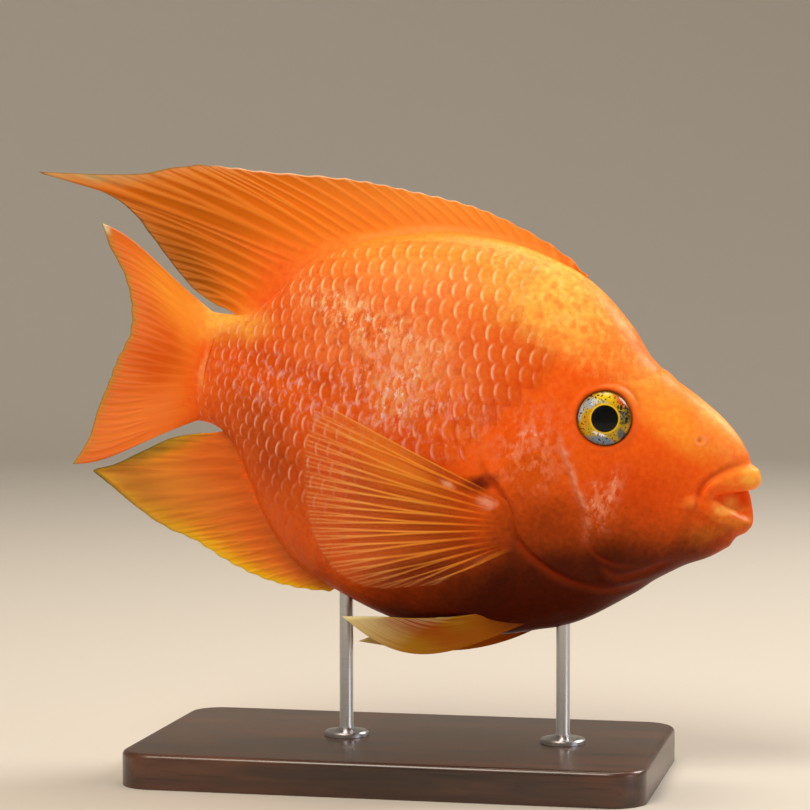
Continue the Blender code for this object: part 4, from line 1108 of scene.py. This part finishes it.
def finFinish(name, design):
    # skin stretched between bony rays: webs and rays have colours from root to margin, with a thin edge
    finish, add, shader = newFinish(name)
    place = fishFrame(add)
    moved = drifted(add, place, 120, 0.004)
    spot = add("UVMap", uv_map="finUV")
    share, out, _ = add("SeparateXYZ", [spot], None).outputs
    fibres, fibreTone = design.get("fibres", finSheet["fibres"])   # how many across the fin
    streak = add("Mapping", {"Vector": spot, "Scale": (fibres, 3, 1)})
    streak = add("TexNoise", {"Vector": streak, "Scale": 1, "Detail": 3})
    uneven = add("MapRange", [streak, 0, 1, -0.10, 0.10])
    along = add("Math", [out, uneven], operation="ADD")
    web, bone, edge = (add("ValToRGB", [at], stops=design[part]) for part, at in (
        ("webColours", along), ("rayColours", along), ("edgeColours", share)))
    for code, aft, *oval in design["patches"]:
        mask = patchMask(add, moved, -aft, *oval)
        web = paint(add, web, [(mask, code)])
        bone = paint(add, bone, [(add("Math", [mask, 0.5], **times), code)])
    ray = add("Attribute", out="Fac", attribute_name="ray")
    ray = add("MapRange", [ray, 0.15, 0.9, 0, design["rayTone"]])
    colour = paint(add, paint(add, web, [(ray, bone)]), [(fibreTone, streak)], "OVERLAY")
    margin = add("MapRange", [out, design["edgeStart"], 1])
    body = add("MapRange", [along, design["bodyReach"], 0.02], **smooth)
    joints = add("Mapping", {"Vector": spot, "Scale": (0, 60, 1)})   # a quarter of a millimetre apart
    joints = add("TexWave", {"Vector": joints, "Scale": 1}, bands_direction="Y")
    bumps = add("Math", [joints, ray], **times)
    setInputs(shader, {
        "Base Color": paint(add, colour, [(margin, edge), (body, fishColours(add, place))]),
        "Normal": add("Bump", {"Height": bumps, "Strength": 0.2, "Distance": 0.0001}),
        "Roughness": 0.42, **flesh,
    })
    if "solid" in design:   # how much hides what is behind: the web, then the rays
        thin = add("MapRange", [ray, 0, 1, *design["solid"]])
        fade = add("MapRange", [out, 1, 0.66, 0.28, 1], **smooth)
        thin = add("Math", [thin, fade], **times)
        setInputs(shader, {"Alpha": add("Math", [thin, body], operation="MAXIMUM")})
    return finish


def makeFins():
    # each fin with the node that it stands for, first the single ones and then a pair of each other
    shapes = {"dorsalFin": dorsalFin, "caudalFin": caudalFin, "analFin": analFin, "pectoralFin": pectoralFin,
              "pelvicFin": pelvicFin}
    webs = {name: finFinish(name.replace("Fin", "Web"), design) for name, design in fins.items()}
    made = {}
    for word, side in {"": 0, **sides}.items():
        for name, design in fins.items():
            if bool(word) == design.get("paired", False):
                piece = makeFin(name + word, design, *shapes[name](design, word, side))
                piece.data.materials.append(webs[name])
                made[name + word] = piece, design["node"] + (f"_{word.lower()}" if word else "")
    return made


finPieces = makeFins()
print("fins made:", {name: len(piece.data.polygons) for name, (piece, _) in finPieces.items()})


# The eyes: a flattened ball with its iris seen through a clear, wet front

def makeEye(word, side):
    spot, looking = eyeAxis(bodyTree, side)
    turn = looking.to_track_quat("Z", "Y").to_matrix()
    centre = np.array(spot - looking * eyes["sunk"])
    polar, around = np.meshgrid(np.linspace(0, math.pi, eyes["rings"] + 1)[1:-1],
                                np.linspace(0, 2 * math.pi, eyes["around"] + 1)[:-1], indexing="ij")
    ball = np.stack([np.sin(polar) * np.cos(around), np.sin(polar) * np.sin(around), np.cos(polar)], axis=2)
    local = np.vstack([ball.reshape(-1, 3), [(0, 0, 1), (0, 0, -1)]])
    size = np.array([eyes["radius"], eyes["radius"], eyes["depth"]])
    points = inWorld((local * size) @ np.array(turn).T + centre)
    piece = newPiece(f"eye{word}", points, gridFaces(*polar.shape, closed=True))
    # seen from the front of the eye: forward is +u and up is +v, one radius to 1
    addUV(piece.data, "irisUV", np.stack([local[:, 0] * -side, local[:, 1]], axis=1))
    return piece


iris = {  # colour, forward and up of its middle in eye radii, half sizes, turn, strength
    "base": "#c8a010", "pigment": "#0c100c", "soft": 0.45,
    "rings": [(0.86, 1, "#2a3014"), (0.57, 0.51, "#e8bc20"), (0.495, 0.465, "#020303")],
    "patches": [
        ("#94a8bc", -0.62, 0.44, 0.28, 0.2, -45, 0.9), ("#b0c0cc", -0.86, 0.06, 0.1, 0.34, 0, 0.9),
        ("#7890a8", 0.02, -0.78, 0.6, 0.16, 0, 1.0), ("#44606c", 0.72, -0.44, 0.18, 0.26, -30, 0.9),
        ("#cc4c18", 0.5, 0.72, 0.4, 0.16, 38, 0.9), ("#e8c818", -0.14, 0.74, 0.32, 0.16, 0, 0.9),
        ("#a8c0a0", -0.2, 0.56, 0.3, 0.05, 0, 0.7), ("#384418", 0.72, 0.2, 0.22, 0.36, 0, 0.7),
        # the last is a painted white highlight just below the pupil
        ("#d89018", -0.62, -0.2, 0.14, 0.36, 10, 0.8), ("#f4f8ff", -0.08, -0.57, 0.26, 0.07, 8, 1.0),
    ],
    # black pigment cells: middle, half sizes and how low the noise may be
    "specks": [(0.62, 0.34, 0.34, 0.42, 0.47), (-0.45, 0.66, 0.4, 0.26, 0.53), (0.0, 0.0, 1.1, 1.1, 0.57)],
}


def irisFinish():
    # a wet, clear cornea over an iris of gold and silver pigment cells, with a black pupil and a painted
    # white highlight below it
    finish, add, shader = newFinish("wetEye")
    spot = add("UVMap", uv_map="irisUV")
    forward, upward, _ = add("SeparateXYZ", [spot], None).outputs
    place = add("CombineXYZ", {"X": forward, "Z": upward})
    moved = drifted(add, place, 6, 0.24)
    coats = [(patchMask(add, moved, *oval, iris["soft"]), code) for code, *oval in iris["patches"]]
    colour = paint(add, iris["base"], coats)
    # pigment cells in clumps of 0.7 mm
    fibres, speck = (add("TexNoise", {"Vector": place, "Scale": 11, "Detail": detail, "Roughness": rough})
                     for detail, rough in ((6, 0.75), (4, 0.6)))
    colour = paint(add, colour, [(0.8, fibres)], "OVERLAY")
    coats = []
    for x, z, length, rise, least in iris["specks"]:
        mask = patchMask(add, place, x, z, length, rise, 0, 0.95, 0.7)
        dark = add("MapRange", [speck, least, least + 0.03])
        coats.append((add("Math", [mask, dark], **times), iris["pigment"]))
    reach = add("VectorMath", [place], "Value", operation="LENGTH")
    for low, high, code in iris["rings"]:
        coats.append((add("MapRange", [reach, low, high], **smooth), code))
    setInputs(shader, {
        "Base Color": paint(add, colour, coats), "Roughness": 0.30, "Specular IOR Level": 0.1,
        "Coat Weight": 0.5, "Coat Roughness": 0.03, "Coat IOR": 1.36,   # the cornea's
    })
    return finish


wetEye = irisFinish()
eyePieces = {word: makeEye(word, side) for word, side in sides.items()}
for piece in eyePieces.values():
    piece.data.materials.append(wetEye)
print("eyes made")


# The display stand: a turned-edge wooden base and two slim steel rods

stand = {
    "size": (0.150, 0.086, 0.010), "corner": 0.010, "edge": 0.0015, "gap": 0.0001, "intoBelly": 0.0010,
    "rods": {"standRodFront": 0.0465, "standRodRear": -0.0175}, "rodRadius": 0.0020,
    "footRadius": 0.0065, "footHeight": 0.0014, "footEdge": 0.0004, "sharp": 35,
    "collar": [(0.0012, 0.0004), (0.0003, 0.0009), (0.0, 0.0018)],   # out from the rod, up from its foot
}


def woodFinish():
    # dark stained hardwood under satin varnish: long grain along X, fine pores, slow colour bands
    finish, add, shader = newFinish("stainedWalnut")
    place = add("TexCoord", out="Object")
    # bands 45 mm long and 5 mm wide; pores 17 mm long and 0.7 mm wide, as coarse as they need to show
    bands, pore = (add("Mapping", {"Vector": place, "Scale": scale})
                   for scale in ((1, 9, 9), (60, 1400, 1400)))
    bands = add("TexNoise", {"Vector": bands, "Scale": 22, "Detail": 5, "Distortion": 0.6})
    pore = add("TexNoise", {"Vector": pore, "Scale": 1, "Detail": 2})
    dark = add("MapRange", [pore, 0.62, 0.74, 0, 0.6])
    colour = add("ValToRGB", [bands], stops=[(0.3, "#24140d"), (0.75, "#5a3522")])
    setInputs(shader, {
        "Base Color": paint(add, colour, [(dark, "#140a06")]),
        "Normal": add("Bump", {"Height": dark, "Strength": 0.3, "Distance": 0.0001}, invert=True),
        "Roughness": add("MapRange", [bands, 0, 1, 0.28, 0.42]),
        "Coat Weight": 0.4, "Coat Roughness": 0.2,
    })
    return finish


def steelFinish():
    # stainless rod, brushed round its length: fine rings that spread the light sideways
    finish, add, shader = newFinish("brushedStainless")
    place = add("TexCoord", out="Object")
    lines = add("Mapping", {"Vector": place, "Scale": (300, 300, 9000)})   # 3 mm round, 0.1 mm high
    lines = add("TexNoise", {"Vector": lines, "Scale": 1, "Detail": 3})
    setInputs(shader, {
        "Base Color": paint(add, "#b4b5b8", [(lines, "#d2d3d6")]), "Metallic": 1.0,
        "Roughness": add("MapRange", [lines, 0, 1, 0.22, 0.42]),
        "Normal": add("Bump", {"Height": lines, "Strength": 0.12, "Distance": 0.00005}),
    })
    return finish


def makeBase():
    bm = bmesh.new()
    height = stand["size"][2]
    bmesh.ops.create_cube(bm, size=1.0)
    bmesh.ops.scale(bm, verts=bm.verts, vec=stand["size"])
    bmesh.ops.translate(bm, verts=bm.verts, vec=(0, 0, height / 2))
    upright = [e for e in bm.edges if abs(e.verts[0].co.z - e.verts[1].co.z) > height / 2]
    bmesh.ops.bevel(bm, geom=upright, offset=stand["corner"], segments=12, profile=0.5, affect="EDGES")
    top = [e for e in bm.edges if all(v.co.z > height - 1e-6 for v in e.verts)]
    bmesh.ops.bevel(bm, geom=top, offset=stand["edge"], segments=5, profile=0.5, affect="EDGES")
    return meshPiece("standBase", bm, stand["sharp"])


def makeRod(name, along):
    # a rod on a turned foot; its top just enters the belly
    bottom = stand["size"][2] + stand["gap"]
    foot, radius, rise = stand["footRadius"], stand["rodRadius"], stand["footHeight"]
    under = inFish((along, 0, bottom))
    spot, _, _, _ = bodyTree.ray_cast(under, inFish((along, 0, bottom + 1)) - under)
    top = (fishPlace @ spot).z + stand["intoBelly"]
    profile = [(0, bottom), (foot, bottom), (foot, bottom + 0.7 * rise)]
    profile += [(foot - stand["footEdge"], bottom + rise)]
    profile += [(radius + out, bottom + rise + up) for out, up in stand["collar"]]
    bm = turned(profile + [(radius, top), (0, top)], 48)
    bmesh.ops.recalc_face_normals(bm, faces=bm.faces)
    bmesh.ops.translate(bm, verts=bm.verts, vec=(along, 0, 0))
    return meshPiece(name, bm, stand["sharp"])


base = makeBase()
base.data.materials.append(woodFinish())
steel = steelFinish()
rods = {name: makeRod(name, along) for name, along in stand["rods"].items()}
for rod in rods.values():
    rod.data.materials.append(steel)
print("stand made")


# The studio: a pale floor that rises all round into a pale wall, and soft lights

studio = {"floor": 1.3, "bend": 0.5, "wall": 1.4, "colour": "#c4c1bb", "world": "#fff0e0",
          "worldStrength": 0.16}
lights = {  # place, size, watts, colour
    "key": ((-0.25, -0.72, 1.10), 0.60, 12.5, "#fff0dc"),
    "top": ((0.10, 0.25, 1.10), 0.60, 7.5, "#ffeed8"),
    "rim": ((0.80, 0.60, 0.80), 0.45, 8.0, "#fff8f0"),
    "fill": ((1.20, -0.40, 0.30), 0.60, 2.0, "#f4f6ff"),
}


def makeStudio():
    flat, bend = studio["floor"], studio["bend"]
    turns = np.linspace(0, math.pi / 2, 13)[1:]
    profile = [(0, 0), (flat, 0)]
    profile += [(flat + bend * math.sin(turn), bend * (1 - math.cos(turn))) for turn in turns]
    floor = meshPiece("studioFloor", turned(profile + [(flat + bend, studio["wall"])], 96))
    finish, _, shader = newFinish("mattPaper")
    setInputs(shader, {"Base Color": studio["colour"], "Roughness": 0.9})
    floor.data.materials.append(finish)
    world = bpy.data.worlds.new("studioWorld")
    world.use_nodes = True
    glow = world.node_tree.nodes["Background"]
    setInputs(glow, {"Color": studio["world"], "Strength": studio["worldStrength"]})
    bpy.context.scene.world = world
    for name, (place, size, watts, colour) in lights.items():
        data = bpy.data.lights.new(name, "AREA")
        data.shape, data.size, data.energy, data.color = "DISK", size, watts, hexColour(colour)[:3]
        lamp = addObject(name, data)
        lamp.location = place
        lamp.rotation_euler = (Vector(place) - Vector(view["aim"])).to_track_quat("Z", "Y").to_euler()
    bpy.context.scene.view_settings.view_transform = "Standard"
    return floor


makeStudio()
print("studio set")


# What rides, and the imported nodes that each piece stands for and hides

def declare(piece, slot, *nodes):
    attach(piece, "root")
    if nodes:
        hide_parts(*nodes)


declare(skin, "orange_skin", "head", "gill_cover_right", "gill_cover_left", "trunk", "tail_stem")
for coat in scaleCoats:
    declare(coat, "orange_skin")
for piece, node in finPieces.values():
    declare(piece, "fin_membrane", node)
for word, piece in eyePieces.items():
    declare(piece, "eye_glass", f"eye_{word.lower()}")
declare(base, "dark_wood", "stand_base")
declare(rods["standRodFront"], "brushed_steel", "stand_rod_front")
declare(rods["standRodRear"], "brushed_steel", "stand_rod_rear")
